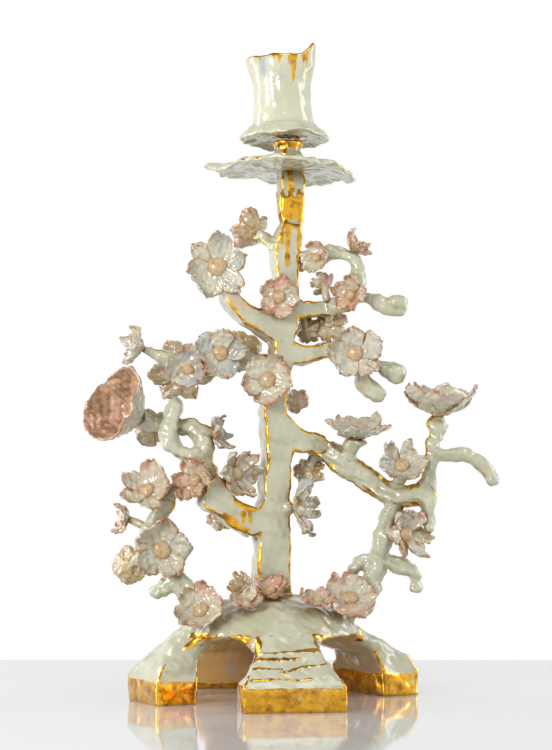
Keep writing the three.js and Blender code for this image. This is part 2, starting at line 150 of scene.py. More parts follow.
def welded(names):
    """One bmesh of copies of these CAD nodes, each closed and grown a little."""
    together = bmesh.new()
    for name in names:
        part = bmesh.new()
        part.from_mesh(NODES[name].data)
        bmesh.ops.remove_doubles(part, verts=part.verts, dist=1e-6)
        part.normal_update()
        moves = [(v, v.normal.copy()) for v in part.verts]
        for v, normal in moves:
            v.co += CLOSING * normal
        scratch = bpy.data.meshes.new("scratch")
        part.to_mesh(scratch)
        part.free()
        together.from_mesh(scratch)
        bpy.data.meshes.remove(scratch)
    return together


def paint(mesh, **layers):
    """Stores values at the mesh's points for its material to read."""
    for name, values in layers.items():
        layer = mesh.attributes.new(name, "FLOAT", "POINT")
        layer.data.foreach_set("value", np.asarray(values, dtype=np.float32))


def stands_for(obj, node):
    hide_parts(node)
    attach(obj, "root")


def tube(rings, closed_ends=True):
    """Points and faces of a tube from rings of points, with its ends closed by fans."""
    rings = np.asarray(rings)
    count, sides = rings.shape[:2]
    points = rings.reshape(-1, 3)
    faces = []
    for i in range(count - 1):
        for j in range(sides):
            k = (j + 1) % sides
            faces.append((i * sides + j, i * sides + k, (i + 1) * sides + k, (i + 1) * sides + j))
    if closed_ends:
        points = np.vstack([points, rings[0].mean(0), rings[-1].mean(0)])
        first, last = len(points) - 2, len(points) - 1
        for j in range(sides):
            k = (j + 1) % sides
            faces.append((first, k, j))
            faces.append((last, (count - 1) * sides + j, (count - 1) * sides + k))
    return points, faces


def peg(start, end, radius, sides=10):
    """A short straight peg of clay."""
    along = (end - start) / max(1e-9, np.linalg.norm(end - start))
    side = np.cross(along, UP if abs(along[2]) < 0.9 else RIGHT)
    side /= np.linalg.norm(side)
    other = np.cross(along, side)
    turns = np.linspace(0, 2 * math.pi, sides, endpoint=False)
    circle = np.outer(np.cos(turns), side) + np.outer(np.sin(turns), other)
    return tube([start + radius * circle, end + 1.25 * radius * circle])


# ---------- flower places, read from the CAD flowers ----------
# Flowers whose flat button is partly cut away in the CAD: the way they face, as turn to the right
# and tilt up in degrees, and their reach in mm.
CUT_FLOWERS = {
    "flower_great_cup": (-50, 20, 20),
    "flower_left_back": (165, 0, 12),
    "flower_right_back": (170, -20, 11),
    "flower_trunk_rear": (-140, 20, 9),
    "flower_bough_under": (175, -35, 10.5),
    "flower_dome_front_left": (-5, 60, 9.6),
    "flower_trunk_top": (0, 0, 13),
}


def facing(turn, tilt):
    """The direction that is turned to the right of the viewer's and tilted up, in degrees."""
    turn, tilt = math.radians(turn), math.radians(tilt)
    flat = math.sin(turn) * RIGHT - math.cos(turn) * BEHIND
    return math.cos(tilt) * flat + math.sin(tilt) * UP


def flower_place(name):
    """(root, outward direction, reach) of a CAD flower, from the flat face of its button."""
    mesh = NODES[name].data
    faces = {}
    for polygon in mesh.polygons:
        normal = polygon.normal
        if name in CUT_FLOWERS and normal.dot(Vector(facing(*CUT_FLOWERS[name][:2]))) < 0.95:
            continue
        key = tuple(round(c * 40) for c in normal) + (round(normal.dot(polygon.center) / (0.2 * MM)),)
        faces.setdefault(key, []).append(polygon)
    flat = max(faces.values(), key=lambda group: sum(p.area for p in group))
    area = sum(p.area for p in flat)
    centre = sum((p.area * p.center for p in flat), Vector()) / area
    normal = sum((p.area * p.normal for p in flat), Vector()).normalized()
    reach = math.sqrt(area / math.pi) / BUTTON_SHARE * 1.015
    if name in CUT_FLOWERS:
        reach = CUT_FLOWERS[name][2] * MM
    return np.array(centre - BUTTON_FACE * normal), np.array(normal), reach


FLOWER_NAMES = sorted(n for n in NODES if n.startswith("flower_"))
PLACES = {name: flower_place(name) for name in FLOWER_NAMES}

# What the eye sees of each flower beyond its place: petals, how deep the dish is, where its
# colour lies between blue (-1) and pink (1), and how khaki its glaze has pooled.
PLAIN = dict(
    petals=5, dish=0.3, blush=0.0, khaki=0.1, spin=0.0, fused=1.0, crumple=1.0, bowl=False,
)
STYLES = {
    "flower_crown_left": dict(petals=6, dish=0.2, blush=-0.3, spin=0.3, crumple=0.75),
    "flower_crown_twig": dict(dish=0.5, blush=0.75, khaki=0.5),
    "flower_trunk_top": dict(dish=0.25, blush=0.7),
    "flower_loop_front": dict(petals=4, dish=0.55, blush=0.5),
    "flower_loop_top": dict(dish=0.5, blush=0.6, khaki=0.4),
    "flower_loop_end": dict(dish=0.4, blush=0.9),
    "flower_right_back": dict(dish=0.35, blush=0.2, khaki=0.5),
    "flower_fork_front": dict(dish=0.28, blush=-0.1, spin=0.5),
    "flower_side_tip": dict(dish=0.45, blush=-0.3),
    "flower_side_back": dict(petals=6, dish=0.25, blush=0.5, khaki=0.6),
    "flower_side_middle": dict(petals=4, dish=0.45, blush=-0.7),
    "flower_side_front": dict(dish=0.28, blush=-0.5, spin=0.2),
    "flower_side_inner": dict(dish=0.3, khaki=0.85),
    "flower_trunk_middle": dict(dish=0.28, blush=0.1, spin=0.9),
    "flower_great_cup": dict(blush=1.75, khaki=0.25, bowl=True),
    "flower_bough_back": dict(dish=0.4, khaki=0.7),
    "flower_bough_inner": dict(petals=6, dish=0.3, blush=-0.6),
    "flower_bough_right": dict(petals=6, dish=0.35, blush=-0.1),
    "flower_bough_front": dict(petals=6, dish=0.4, blush=0.8),
    "flower_loop_bowl": dict(dish=0.5, blush=0.35),
    "flower_left_front": dict(dish=0.28, blush=-0.2, spin=0.1),
    "flower_left_back": dict(dish=0.4, khaki=0.85),
    "flower_dome_left": dict(dish=0.32, blush=0.1),
    "flower_dome_front_left": dict(dish=0.45, blush=0.5),
    "flower_trunk_foot": dict(dish=0.4, blush=0.9),
    "flower_trunk_rear": dict(dish=0.5, blush=1.4, khaki=0.6),
    "flower_dome_front_right": dict(dish=0.45, blush=0.7),
    "flower_dome_right": dict(dish=0.2, blush=0.4, fused=1.15, crumple=0.7),
    "flower_trunk_right": dict(petals=6, dish=0.3, blush=-0.3),
    "flower_bough_under": dict(dish=0.4, blush=0.6, khaki=0.6),
    "flower_right_bowl": dict(petals=6, dish=0.36, blush=0.1, fused=1.25, crumple=0.6),
    "flower_right_front": dict(petals=6, dish=0.35, blush=-0.3),
    "flower_riser_trumpet": dict(dish=0.62, blush=-0.1, fused=1.3, crumple=0.45),
    "flower_right_loop": dict(petals=6, dish=0.3, blush=0.2),
}


# ---------- materials ----------
def linear(rgb):
    """sRGB bytes to the linear colour that shaders take."""
    parts = [c / 255 for c in rgb]
    return tuple(c / 12.92 if c <= 0.04045 else ((c + 0.055) / 1.055) ** 2.4 for c in parts) + (1.0,)


class Shading:
    """A material's node tree, with a short call for each kind of node that this script uses."""

    def __init__(self, name):
        self.material = bpy.data.materials.new(name)
        self.material.use_nodes = True
        self.tree = self.material.node_tree
        self.surface = self.tree.nodes["Principled BSDF"]

    def node(self, kind, **inputs):
        made = self.tree.nodes.new(kind)
        for key, value in inputs.items():
            self.feed(made.inputs[key.replace("_", " ")], value)
        return made

    def feed(self, socket, value):
        if isinstance(value, bpy.types.NodeSocket):
            self.tree.links.new(value, socket)
        else:
            socket.default_value = value

    def attribute(self, name):
        made = self.tree.nodes.new("ShaderNodeAttribute")
        made.attribute_name = name
        return made.outputs["Fac"]

    def noise(self, size, detail=3.0, roughness=0.55):
        where = self.tree.nodes.new("ShaderNodeTexCoord").outputs["Object"]
        made = self.node("ShaderNodeTexNoise", Vector=where, Scale=1 / size, Detail=detail)
        made.inputs["Roughness"].default_value = roughness
        return made.outputs["Fac"]

    def ramp(self, value, low, high):
        made = self.tree.nodes.new("ShaderNodeMapRange")
        made.interpolation_type = "SMOOTHSTEP"
        self.feed(made.inputs["Value"], value)
        made.inputs["From Min"].default_value = low
        made.inputs["From Max"].default_value = high
        return made.outputs["Result"]

    def maths(self, operation, a, b, clamp=False):
        made = self.tree.nodes.new("ShaderNodeMath")
        made.operation = operation
        made.use_clamp = clamp
        self.feed(made.inputs[0], a)
        self.feed(made.inputs[1], b)
        return made.outputs[0]

    def times(self, a, b, clamp=False):
        return self.maths("MULTIPLY", a, b, clamp)

    def plus(self, a, b, clamp=False):
        return self.maths("ADD", a, b, clamp)

    def minus(self, a, b):
        return self.maths("SUBTRACT", a, b)

    def blend(self, share, a, b):
        made = self.tree.nodes.new("ShaderNodeMix")
        made.data_type = "RGBA"
        self.feed(made.inputs["Factor"], share)
        self.feed(made.inputs[6], a)
        self.feed(made.inputs[7], b)
        return made.outputs[2]

    def hollow(self, distance):
        """Ambient occlusion, from 0 in the open to 1 in a recess, for painting shade into colours."""
        made = self.tree.nodes.new("ShaderNodeAmbientOcclusion")
        made.samples = 6
        made.inputs["Distance"].default_value = distance
        return self.ramp(made.outputs["AO"], 0.97, 0.42)

    def bump(self, height, distance, strength=1.0):
        made = self.node("ShaderNodeBump", Height=height, Distance=distance, Strength=strength)
        self.tree.links.new(made.outputs["Normal"], self.surface.inputs["Normal"])

    def finish(self, **inputs):
        for key, value in inputs.items():
            self.feed(self.surface.inputs[key.replace("_", " ")], value)
        return self.material


GLAZE_PALE = linear((188, 187, 164))
GLAZE = linear((174, 173, 144))
# A deeper glaze colour, used in patches and also as painted shade in recesses
GLAZE_DEEP_AND_SHADE = linear((150, 136, 96))
# Painted shade deepest in recesses, which also stands for glaze pooled there
GLAZE_POOL_AND_SHADE = linear((104, 72, 34))
# Brown-tan colour, painted as shade under the dome and inside the feet
GLAZE_SHADE_TAN = linear((196, 150, 90))
GOLD = linear((226, 168, 34))
GOLD_DARK = linear((150, 92, 14))
# Pale cream gold, painted on the lustre as highlights
GOLD_HIGHLIGHT = linear((234, 204, 132))
PETAL_WHITE = linear((190, 188, 170))
PETAL_BLUE = linear((140, 152, 162))
PETAL_PINK = linear((196, 144, 122))
PETAL_ROSE = linear((126, 86, 64))
# Khaki glaze colour, also painted as shade in the recesses of flowers and round their buttons
PETAL_KHAKI_AND_SHADE = linear((170, 144, 96))
PETAL_EDGE = linear((154, 98, 46))
PEACH = linear((188, 166, 128))
PEACH_DEEP = linear((170, 130, 92))


def gold_share(shading):
    """1 on gold lustre and 0 on bare glaze; the brushed edge is ragged."""
    ragged = shading.times(shading.minus(shading.noise(4 * MM, 4.0), 0.5), 2.4)
    return shading.ramp(shading.plus(shading.attribute("gold_distance"), ragged), 0.25, -0.25)


def clay_glaze():
    shading = Shading("celadon_glaze")
    mottle = shading.ramp(shading.noise(26 * MM, 3.0), 0.35, 0.7)
    body = shading.blend(mottle, GLAZE_PALE, GLAZE)
    body = shading.blend(shading.ramp(shading.noise(7 * MM, 4.0), 0.6, 0.85), body, GLAZE_DEEP_AND_SHADE)
    # Painted shade: the glaze darkens in recesses and is darkest deep inside them, where less light reaches
    recess = shading.hollow(14 * MM)
    body = shading.blend(shading.times(recess, 0.75), body, GLAZE_DEEP_AND_SHADE)
    deep_shade = shading.ramp(recess, 0.75, 1.0)
    body = shading.blend(shading.times(deep_shade, 0.6), body, GLAZE_POOL_AND_SHADE)
    # Painted shade: brown-tan glaze under the dome and on the inner sides of the feet
    body = shading.blend(shading.attribute("stain"), body, GLAZE_SHADE_TAN)
    pink = shading.ramp(shading.noise(31 * MM, 2.0), 0.6, 0.78)
    body = shading.blend(shading.times(pink, 0.4), body, PETAL_PINK)
    blue = shading.ramp(shading.noise(23 * MM, 2.0), 0.64, 0.8)
    body = shading.blend(shading.times(blue, 0.35), body, PETAL_BLUE)
    dab = shading.attribute("dab")
    body = shading.blend(shading.times(dab, 0.8, clamp=True), body, PETAL_PINK)
    body = shading.blend(shading.times(dab, -0.8, clamp=True), body, PETAL_BLUE)
    gold = gold_share(shading)
    lustre = shading.blend(shading.ramp(shading.noise(5 * MM, 5.0), 0.4, 0.75), GOLD, GOLD_DARK)
    # Painted highlight: pale cream patches on the gold lustre, placed by noise
    painted_highlight = shading.times(shading.ramp(shading.noise(9 * MM, 3.0), 0.52, 0.75), 0.75)
    lustre = shading.blend(painted_highlight, lustre, GOLD_HIGHLIGHT)
    grain = shading.noise(3.2 * MM, 4.0)
    shading.bump(grain, 0.35 * MM, 0.5)
    return shading.finish(
        Base_Color=shading.blend(gold, body, lustre),
        Metallic=gold,
        Roughness=shading.plus(shading.times(shading.noise(2.5 * MM), 0.16), 0.1),
        Coat_Weight=0.5,
        Coat_Roughness=0.08,
        IOR=1.55,
    )


def petal_glaze():
    shading = Shading("petal_glaze")
    rim = shading.attribute("rim")
    patch = shading.minus(shading.noise(8 * MM, 3.0), 0.5)
    other_patch = shading.minus(shading.noise(11 * MM, 2.0), 0.5)
    blush = shading.times(shading.attribute("blush"), 0.9)
    warmth = shading.plus(blush, shading.times(patch, 3.4))
    warmth = shading.plus(warmth, shading.times(rim, 0.6))
    cool = shading.minus(shading.times(other_patch, 3.2), shading.attribute("blush"))
    blue = shading.times(shading.ramp(cool, 0.1, 1.1), 0.8)
    body = shading.blend(blue, PETAL_WHITE, PETAL_BLUE)
    body = shading.blend(shading.times(shading.ramp(warmth, 0.3, 1.4), 0.9), body, PETAL_PINK)
    body = shading.blend(shading.ramp(warmth, 1.4, 2.0), body, PETAL_ROSE)
    # Khaki: the flower's own khaki glaze in patches, plus painted shade in recesses
    recess = shading.hollow(8 * MM)
    khaki = shading.plus(shading.times(patch, -0.5), shading.attribute("khaki"))
    khaki = shading.plus(khaki, shading.times(recess, 0.75), clamp=True)
    body = shading.blend(khaki, body, PETAL_KHAKI_AND_SHADE)
    edge = shading.plus(rim, shading.times(patch, 0.8))
    body = shading.blend(shading.times(shading.ramp(edge, 0.9, 1.0), 0.8), body, PETAL_EDGE)
    shading.bump(shading.noise(2.4 * MM, 3.0), 0.3 * MM, 0.5)
    return shading.finish(
        Base_Color=body,
        Roughness=shading.plus(shading.times(shading.noise(3 * MM), 0.2), 0.08),
        Coat_Weight=0.9,
        Coat_Roughness=0.05,
        IOR=1.55,
    )


def button_glaze():
    shading = Shading("peach_button")
    body = shading.blend(shading.ramp(shading.noise(2.5 * MM, 4.0), 0.35, 0.75), PEACH, PEACH_DEEP)
    # Painted shade: khaki darkening in the recess where the button meets its petals
    body = shading.blend(shading.times(shading.hollow(3 * MM), 0.8), body, PETAL_KHAKI_AND_SHADE)
    shading.bump(shading.noise(1.6 * MM, 3.0), 0.2 * MM, 0.5)
    return shading.finish(
        Base_Color=body,
        Roughness=shading.plus(shading.times(shading.noise(2 * MM), 0.2), 0.12),
        Coat_Weight=0.3,
        Coat_Roughness=0.08,
    )


CLAY = clay_glaze()
PETAL = petal_glaze()
BUTTON = button_glaze()

# ---------- gold lines ----------
# Fired gold runs along the sharp edges of the slab and the feet, in bands round the feet, and in
# brushed strokes. Widths are half widths, in mm.
EDGE_WIDTH = 0.55
EDGED_NODES = ("trunk_lower", "trunk_middle", "trunk_upper", "trunk_stem")
EDGED_FEET = ("foot_front", "foot_left", "foot_right")
BAND_HEIGHT = 13.3  # the gold band round each foot, mm
BACK_BAND = 3.5  # the band on the inner side of the back foot, mm
NOT_GOLD = 9.0  # a distance from gold at which there is none, mm
SHARP = math.cos(math.radians(42))  # faces that meet more sharply than this make a gold edge
SEAM_REACH = 1.4 * MM  # an edge this near the next length of the trunk is a seam, without gold
# Gold along a rounded branch: how far its line is turned towards the viewer (0 to 1), the side
# of the branch that it lies on (right, up), and its half width in mm.
SHOULDERS = {
    "right_bough": [(0.6, (0, 1), 0.9), (0.3, (0, -1), 1.6)],
    "right_riser": [(0.4, (-1, 0), 1.4)],
    "right_loop": [(0.35, (-1, 0), 0.4)],
    "left_bough": [(0.3, (0.3, 0.9), 1.1)],
    "left_loop": [(0.4, (0.6, -0.8), 0.9)],
    "left_loop_root": [(0.3, (1, 0), 0.4)],
    "upper_right_loop": [(0.5, (0, 1), 0.35)],
    "crown_twig": [(0.4, (0, -1), 1.6)],
    "left_side_branch": [(0.4, (0, 1), 0.9)],
}
# Brushed strokes down the front of the slab: node, points (right, up) and half widths, mm.
STROKES = [
    ("trunk_upper", [(3.0, 281), (9.0, 282), (15.0, 281)], [1.6, 2.4, 1.8]),
    ("trunk_upper", [(3.4, 281), (3.6, 271)], [1.3, 0.6]),
    ("trunk_upper", [(7.0, 281), (6.8, 268), (6.6, 258)], [1.6, 0.8, 1.1]),
    ("trunk_upper", [(14.6, 281), (14.0, 270), (12.8, 260)], [1.8, 1.1, 0.7]),
    ("trunk_stem", [(9.0, 302), (8.6, 309), (8.4, 316)], [1.6, 1.3, 0.8]),
    ("trunk_lower", [(-31, 107), (-25, 101.5), (-18, 97.5)], [2.2, 4.2, 2.8]),
    ("trunk_lower", [(-19.5, 111.5), (-19.0, 104)], [1.0, 0.6]),
    ("trunk_lower", [(-15.8, 110.5), (-15.4, 104)], [0.9, 0.5]),
    ("trunk_lower", [(-24, 115.5), (-16, 112.5), (-11, 111.5)], [1.1, 1.3, 1.0]),
]
# Gold lines across the front foot: height and slope, then where each starts and ends across it, mm.
FOOT_STROKES = [
    (17.5, 0.03, -14, 20), (21.5, 0.14, 2, 38), (23.5, 0.0, -16, 4),
    (28, 0.03, -14, 14), (31, 0.08, -12, 30), (33, -0.05, 14, 32),
]
STEM_GOLD = (284, 301)  # the length of the stem that is gold all round, mm
STEM_RUNS = 3.5  # how far its edges run up and down, mm
RIM_LIFT = 3  # the gold on the dome's rim lies this far above its lowest edge, mm
# Arcs of gold on the dome's rim: from and to in degrees round it (0 right, 270 nearest the
# viewer), then half width.
RIM_ARCS = [(198, 264, 2.0), (294, 338, 1.6)]


def sharp_edges(name, front_only):
    """Sample points along a CAD node's sharp edges, as arrays."""
    part = bmesh.new()
    part.from_mesh(NODES[name].data)
    bmesh.ops.remove_doubles(part, verts=part.verts, dist=1e-6)
    part.normal_update()
    samples = []
    for edge in part.edges:
        if len(edge.link_faces) != 2:
            continue
        one, other = (face.normal for face in edge.link_faces)
        if one.dot(other) > SHARP:
            continue
        if front_only and min(one.y, other.y) > -0.9:
            continue
        steps = max(2, int(edge.calc_length() / (0.6 * MM)))
        a, b = (np.array(v.co) for v in edge.verts)
        samples += [a + (b - a) * k / steps for k in range(steps + 1)]
    part.free()
    return samples


def on_front(node, right, up):
    """The place on the front face of one of the slab's lengths, as seen."""
    place = seen(right, 0, up)
    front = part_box(node)[0][1]
    return place + (front - place[1]) / BEHIND[1] * BEHIND


def along_stroke(node, points, widths):
    """Samples every half millimetre along one brushed stroke."""
    points = np.array([on_front(node, *p) for p in points])
    samples, sizes = [], []
    for i in range(len(points) - 1):
        steps = max(2, int(np.linalg.norm(points[i + 1] - points[i]) / (0.5 * MM)))
        for k in range(steps + 1):
            samples.append(points[i] + (points[i + 1] - points[i]) * k / steps)
            sizes.append(widths[i] + (widths[i + 1] - widths[i]) * k / steps)
    return samples, sizes


def rim_arc(start, end, width):
    """Samples along an arc of the dome's rim."""
    radius = (dome_high[0] - dome_low[0]) / 2
    samples = []
    for turn in np.radians(np.linspace(start, end, 90)):
        reach = radius * (0.99 - 0.012 * math.sin(9 * turn))
        up = dome_low[2] + (RIM_LIFT + 0.8 * math.sin(5 * turn)) * MM
        samples.append(DOME_MIDDLE + reach * (math.cos(turn) * RIGHT + math.sin(turn) * BEHIND) + up * UP)
    return samples, [width] * len(samples)


def stroke_samples():
    """Points and half widths, in millimetres, of every gold line and drip."""
    points, widths = [], []
    for name in EDGED_NODES:
        others = owner_tree([n for n in EDGED_NODES if n != name])[0]
        for point in sharp_edges(name, front_only=True):
            if others.find_nearest(Vector(point))[3] > SEAM_REACH:
                points.append(point)
                widths.append(EDGE_WIDTH)
    for name in EDGED_FEET:
        for point in sharp_edges(name, front_only=False):
            if point[2] > (BAND_HEIGHT - 4) * MM:
                points.append(point)
                widths.append(1.0 + 0.5 * math.sin(point[0] * 400) * math.sin(point[2] * 500))
    for stroke in STROKES:
        samples, sizes = along_stroke(*stroke)
        points += samples
        widths += sizes
    for arc in RIM_ARCS:
        samples, sizes = rim_arc(*arc)
        points += samples
        widths += sizes
    return points, widths


def gold_field(points, normals, owner, names):
    """How far each point is from gold, in millimetres; gold lies where this is below nought."""
    places, widths = stroke_samples()
    tree = KDTree(len(places))
    for i, place in enumerate(places):
        tree.insert(Vector(place), i)
    tree.balance()
    field = np.empty(len(points))
    for i, point in enumerate(points):
        _, found, distance = tree.find(Vector(point))
        field[i] = distance / MM - widths[found] - 0.6
    height = points[:, 2] / MM
    wobble = 0.5 * waves(points, 18 * MM, 11)
    across = (points - AXIS) @ RIGHT / MM
    towards = -(normals @ BEHIND)
    for i, name in enumerate(names):
        mine = owner == i
        if name.startswith("foot_"):
            inside = (towards > 0) & (name == "foot_back")
            band = np.where(inside, BACK_BAND, BAND_HEIGHT)
            field[mine] = np.minimum(field[mine], (height - band - wobble)[mine])
        if name == "foot_front":
            for level, slope, low, high in FOOT_STROKES:
                off = np.abs(height - level - slope * across - 0.9 * wobble) - 0.55
                off = off + 3 * np.maximum(0, np.maximum(low - across, across - high))
                off = np.where(towards > 0.2, off, NOT_GOLD)
                field[mine] = np.minimum(field[mine], off[mine])
        if name == "trunk_stem":
            runs = waves(points * np.array([1, 1, 0.2]), 6 * MM, 5)
            low, high = STEM_GOLD
            off = np.maximum(low - height, height - high) - STEM_RUNS * runs
            field[mine] = np.minimum(field[mine], off[mine])
        for level, (right, up), width in SHOULDERS.get(name, []):
            aside = normals @ (right * RIGHT + up * UP)
            off = np.abs(towards - level) * 6 - width + 0.5 * waves(points, 15 * MM, 21) + 0.2
            off = np.where(aside > 0.3, off, NOT_GOLD)
            field[mine] = np.minimum(field[mine], off[mine])
    return field


# ---------- the clay body ----------
TURNED_NODES = ("drip_pan", "cup_flange", "cup_neck", "candle_cup")
CLAY_NODES = [
    name for name in NODES if not name.startswith("flower_") and name not in TURNED_NODES
]


def rounded_ends(name):
    """(centre, outward, radius) of the flat ends of a branch, where a ball of clay rounds it off."""
    mesh = NODES[name].data
    groups = {}
    for polygon in mesh.polygons:
        normal = polygon.normal
        key = tuple(round(c * 30) for c in normal) + (round(normal.dot(polygon.center) / (0.3 * MM)),)
        groups.setdefault(key, []).append(polygon)
    ends = []
    for group in groups.values():
        area = sum(p.area for p in group)
        radius = math.sqrt(area / math.pi)
        if not 2.2 * MM < radius < 9 * MM:
            continue
        centre = sum((p.area * p.center for p in group), Vector()) / area
        corners = [mesh.vertices[i].co for p in group for i in p.vertices]
        if max((c - centre).length for c in corners) < 1.3 * radius and len(group) > 3:
            ends.append((centre, group[0].normal.copy(), radius))
    return ends


def add_ball(together, centre, radius):
    shape = Matrix.Translation(centre) @ Matrix.Scale(radius, 4)
    bmesh.ops.create_uvsphere(together, u_segments=16, v_segments=10, radius=1, matrix=shape)


HAUNCH_OUT = 50  # the clay that joins a foot to the dome: its middle from the dome's, mm
HAUNCH_UP = 35.5
HAUNCH_LENGTH = 19
HAUNCH_HEIGHT = 9
HAUNCH_WIDTH = 0.4  # beside the foot's width


def add_haunch(together, name):
    """A rounded swelling that carries the dome's slope down into a foot."""
    low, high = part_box(name)
    middle = np.array([(low[0] + high[0]) / 2, (low[1] + high[1]) / 2, 0.0])
    away = (middle - DOME_MIDDLE) / np.linalg.norm(middle - DOME_MIDDLE)
    width = HAUNCH_WIDTH * max(high[0] - low[0], high[1] - low[1])
    turn = Matrix.Rotation(math.atan2(away[1], away[0]), 4, "Z")
    size = Matrix.Diagonal((HAUNCH_LENGTH * MM, width, HAUNCH_HEIGHT * MM, 1))
    place = Matrix.Translation(DOME_MIDDLE + HAUNCH_OUT * MM * away + HAUNCH_UP * MM * UP)
    shape = place @ turn @ Matrix.Rotation(math.radians(24), 4, "Y") @ size
    bmesh.ops.create_uvsphere(together, u_segments=24, v_segments=14, radius=1, matrix=shape)


FLOWER_GAP = 1.5 * MM  # the branches' clay stays this far behind a flower's root
GUARDED = 0.45, 0.9  # across and ahead of the root, beside the flower's reach


def behind_flowers(together):
    """Keeps the clay of the branches from poking out through the flowers' faces."""
    across, ahead_most = GUARDED
    for root, outward, reach in PLACES.values():
        root, outward = Vector(root), Vector(outward)
        for corner in together.verts:
            ahead = (corner.co - root).dot(outward)
            aside = (corner.co - root - ahead * outward).length
            if -FLOWER_GAP < ahead < ahead_most * reach and aside < across * reach:
                corner.co -= (ahead + FLOWER_GAP) * outward


def owner_tree(names):
    """A search tree over the CAD nodes' faces, and which node each face is of."""
    points, faces, owner = [], [], []
    for index, name in enumerate(names):
        mesh = NODES[name].data
        base = len(points)
        points += [v.co.copy() for v in mesh.vertices]
        for polygon in mesh.polygons:
            faces.append([base + i for i in polygon.vertices])
            owner.append(index)
    return BVHTree.FromPolygons(points, faces), np.array(owner)


BRANCHES = [
    name for name in CLAY_NODES
    if not name.startswith(("trunk_", "foot_")) and name != "base_dome"
]
KNOB = 1.16  # the ball at a branch's end beside the branch's own radius
# How lumpy the clay is: the size of its swellings, in mm, by kind of node.
TRUNK_LUMPS = 0.5
BASE_LUMPS = 0.65
BRANCH_LUMPS = 1.15


def lumpiness(owner, names):
    kinds = [
        BRANCH_LUMPS if name in BRANCHES else TRUNK_LUMPS if name.startswith("trunk_") else BASE_LUMPS
        for name in names
    ]
    return np.array(kinds)[owner]


def soften(mesh, weights, rounds):
    """Smooths the mesh by these weights, from 0 (left as it is) to 1."""
    points = points_of(mesh)
    pairs = np.empty(2 * len(mesh.edges), int)
    mesh.edges.foreach_get("vertices", pairs)
    first, second = pairs.reshape(-1, 2).T
    count = np.bincount(first, minlength=len(points)) + np.bincount(second, minlength=len(points))
    weights = (0.6 * weights)[:, None]
    for _ in range(rounds):
        total = np.empty_like(points)
        for axis in range(3):
            total[:, axis] = np.bincount(first, points[second, axis], len(points))
            total[:, axis] += np.bincount(second, points[first, axis], len(points))
        points = points + weights * (total / count[:, None] - points)
    set_points(mesh, points)


BASE_ROUNDS, DOME_ROUNDS = 60, 160  # rounds of smoothing on the whole base, and on its dome
DOME_FROM = (24, 30)  # the heights over which the dome's smoothing comes in, mm
BAND_FADE = (BAND_HEIGHT + 1, BAND_HEIGHT + 9)  # the feet are worked uneven above these heights, mm


def clay_body():
    """The blended clay surface, then one closed piece of it for each CAD node."""
    names = CLAY_NODES
    search, face_owner = owner_tree(names)
    together = welded(names)
    for name in FLOWER_NAMES:
        root, outward, reach = PLACES[name]
        hit, _, _, gap = search.find_nearest(Vector(root))
        if gap > 0.3 * MM:
            inside = np.array(hit) + (np.array(hit) - root) / max(gap, 1e-9) * 2 * MM
            points, faces = peg(root, inside, PEG_RADIUS)
            scratch = make_mesh("scratch", points, faces)
            together.from_mesh(scratch)
            bpy.data.meshes.remove(scratch)
    behind_flowers(together)
    for name in names:
        if name.startswith("foot_"):
            add_haunch(together, name)
    for name in BRANCHES:
        for centre, outward, radius in rounded_ends(name):
            middle = np.array(centre)
            gaps = [np.linalg.norm(middle - root) - 0.6 * reach for root, _, reach in PLACES.values()]
            if min(gaps) > 0:
                add_ball(together, centre - 0.25 * radius * outward, KNOB * radius)
    mesh = bpy.data.meshes.new("clay")
    together.to_mesh(mesh)
    together.free()
    obj = make_object("clay", mesh)
    remesh = obj.modifiers.new("remesh", "REMESH")
    remesh.mode = "VOXEL"
    remesh.voxel_size = VOXEL
    smooth = obj.modifiers.new("smooth", "SMOOTH")
    smooth.iterations = SMOOTHING
    smooth.factor = 0.5
    mesh = applied(obj)

    points, normals = points_of(mesh), normals_of(mesh)
    owner = np.empty(len(points), int)
    for i, point in enumerate(points):
        owner[i] = face_owner[search.find_nearest(Vector(point))[2]]
    on_base = np.isin(owner, [i for i, n in enumerate(names) if n == "base_dome" or n.startswith("foot_")])
    above_band = smoothstep(*BAND_FADE, points[:, 2] / MM)
    soften(mesh, on_base * above_band, BASE_ROUNDS)
    soften(mesh, on_base * above_band * smoothstep(*DOME_FROM, points[:, 2] / MM), DOME_ROUNDS)
    points, normals = points_of(mesh), normals_of(mesh)
    size = lumpiness(owner, names)
    lumps = size * (waves(points, 17 * MM, 1) + 0.4 * waves(points, 7 * MM, 2))
    lumps *= np.where(on_base, 0.25 + 0.75 * above_band, 1.0)
    points = points + (lumps * MM)[:, None] * normals
    stain = stained(points, normals, owner, names)
    field = gold_field(points, normals, owner, names)
    raised = smoothstep(0.7, -0.5, field)
    points = points + (GOLD_RAISE * raised)[:, None] * normals
    points[:, 2] = np.maximum(points[:, 2], 0.0)
    set_points(mesh, points)
    normals = normals_of(mesh)

    faces = np.array([tuple(p.vertices) for p in mesh.polygons])
    face_node = owner[faces[:, 0]]
    for index, name in enumerate(names):
        clay_piece(name, points, normals, field, stain, faces[face_node == index])
    bpy.data.meshes.remove(mesh)


# Painted shade in brown-tan: its strength at most, and on the inner sides of the left and right feet
MOST_SHADE = 0.95
SIDE_SHADE = 0.6  # on the inner sides of the left and right feet, beside the most


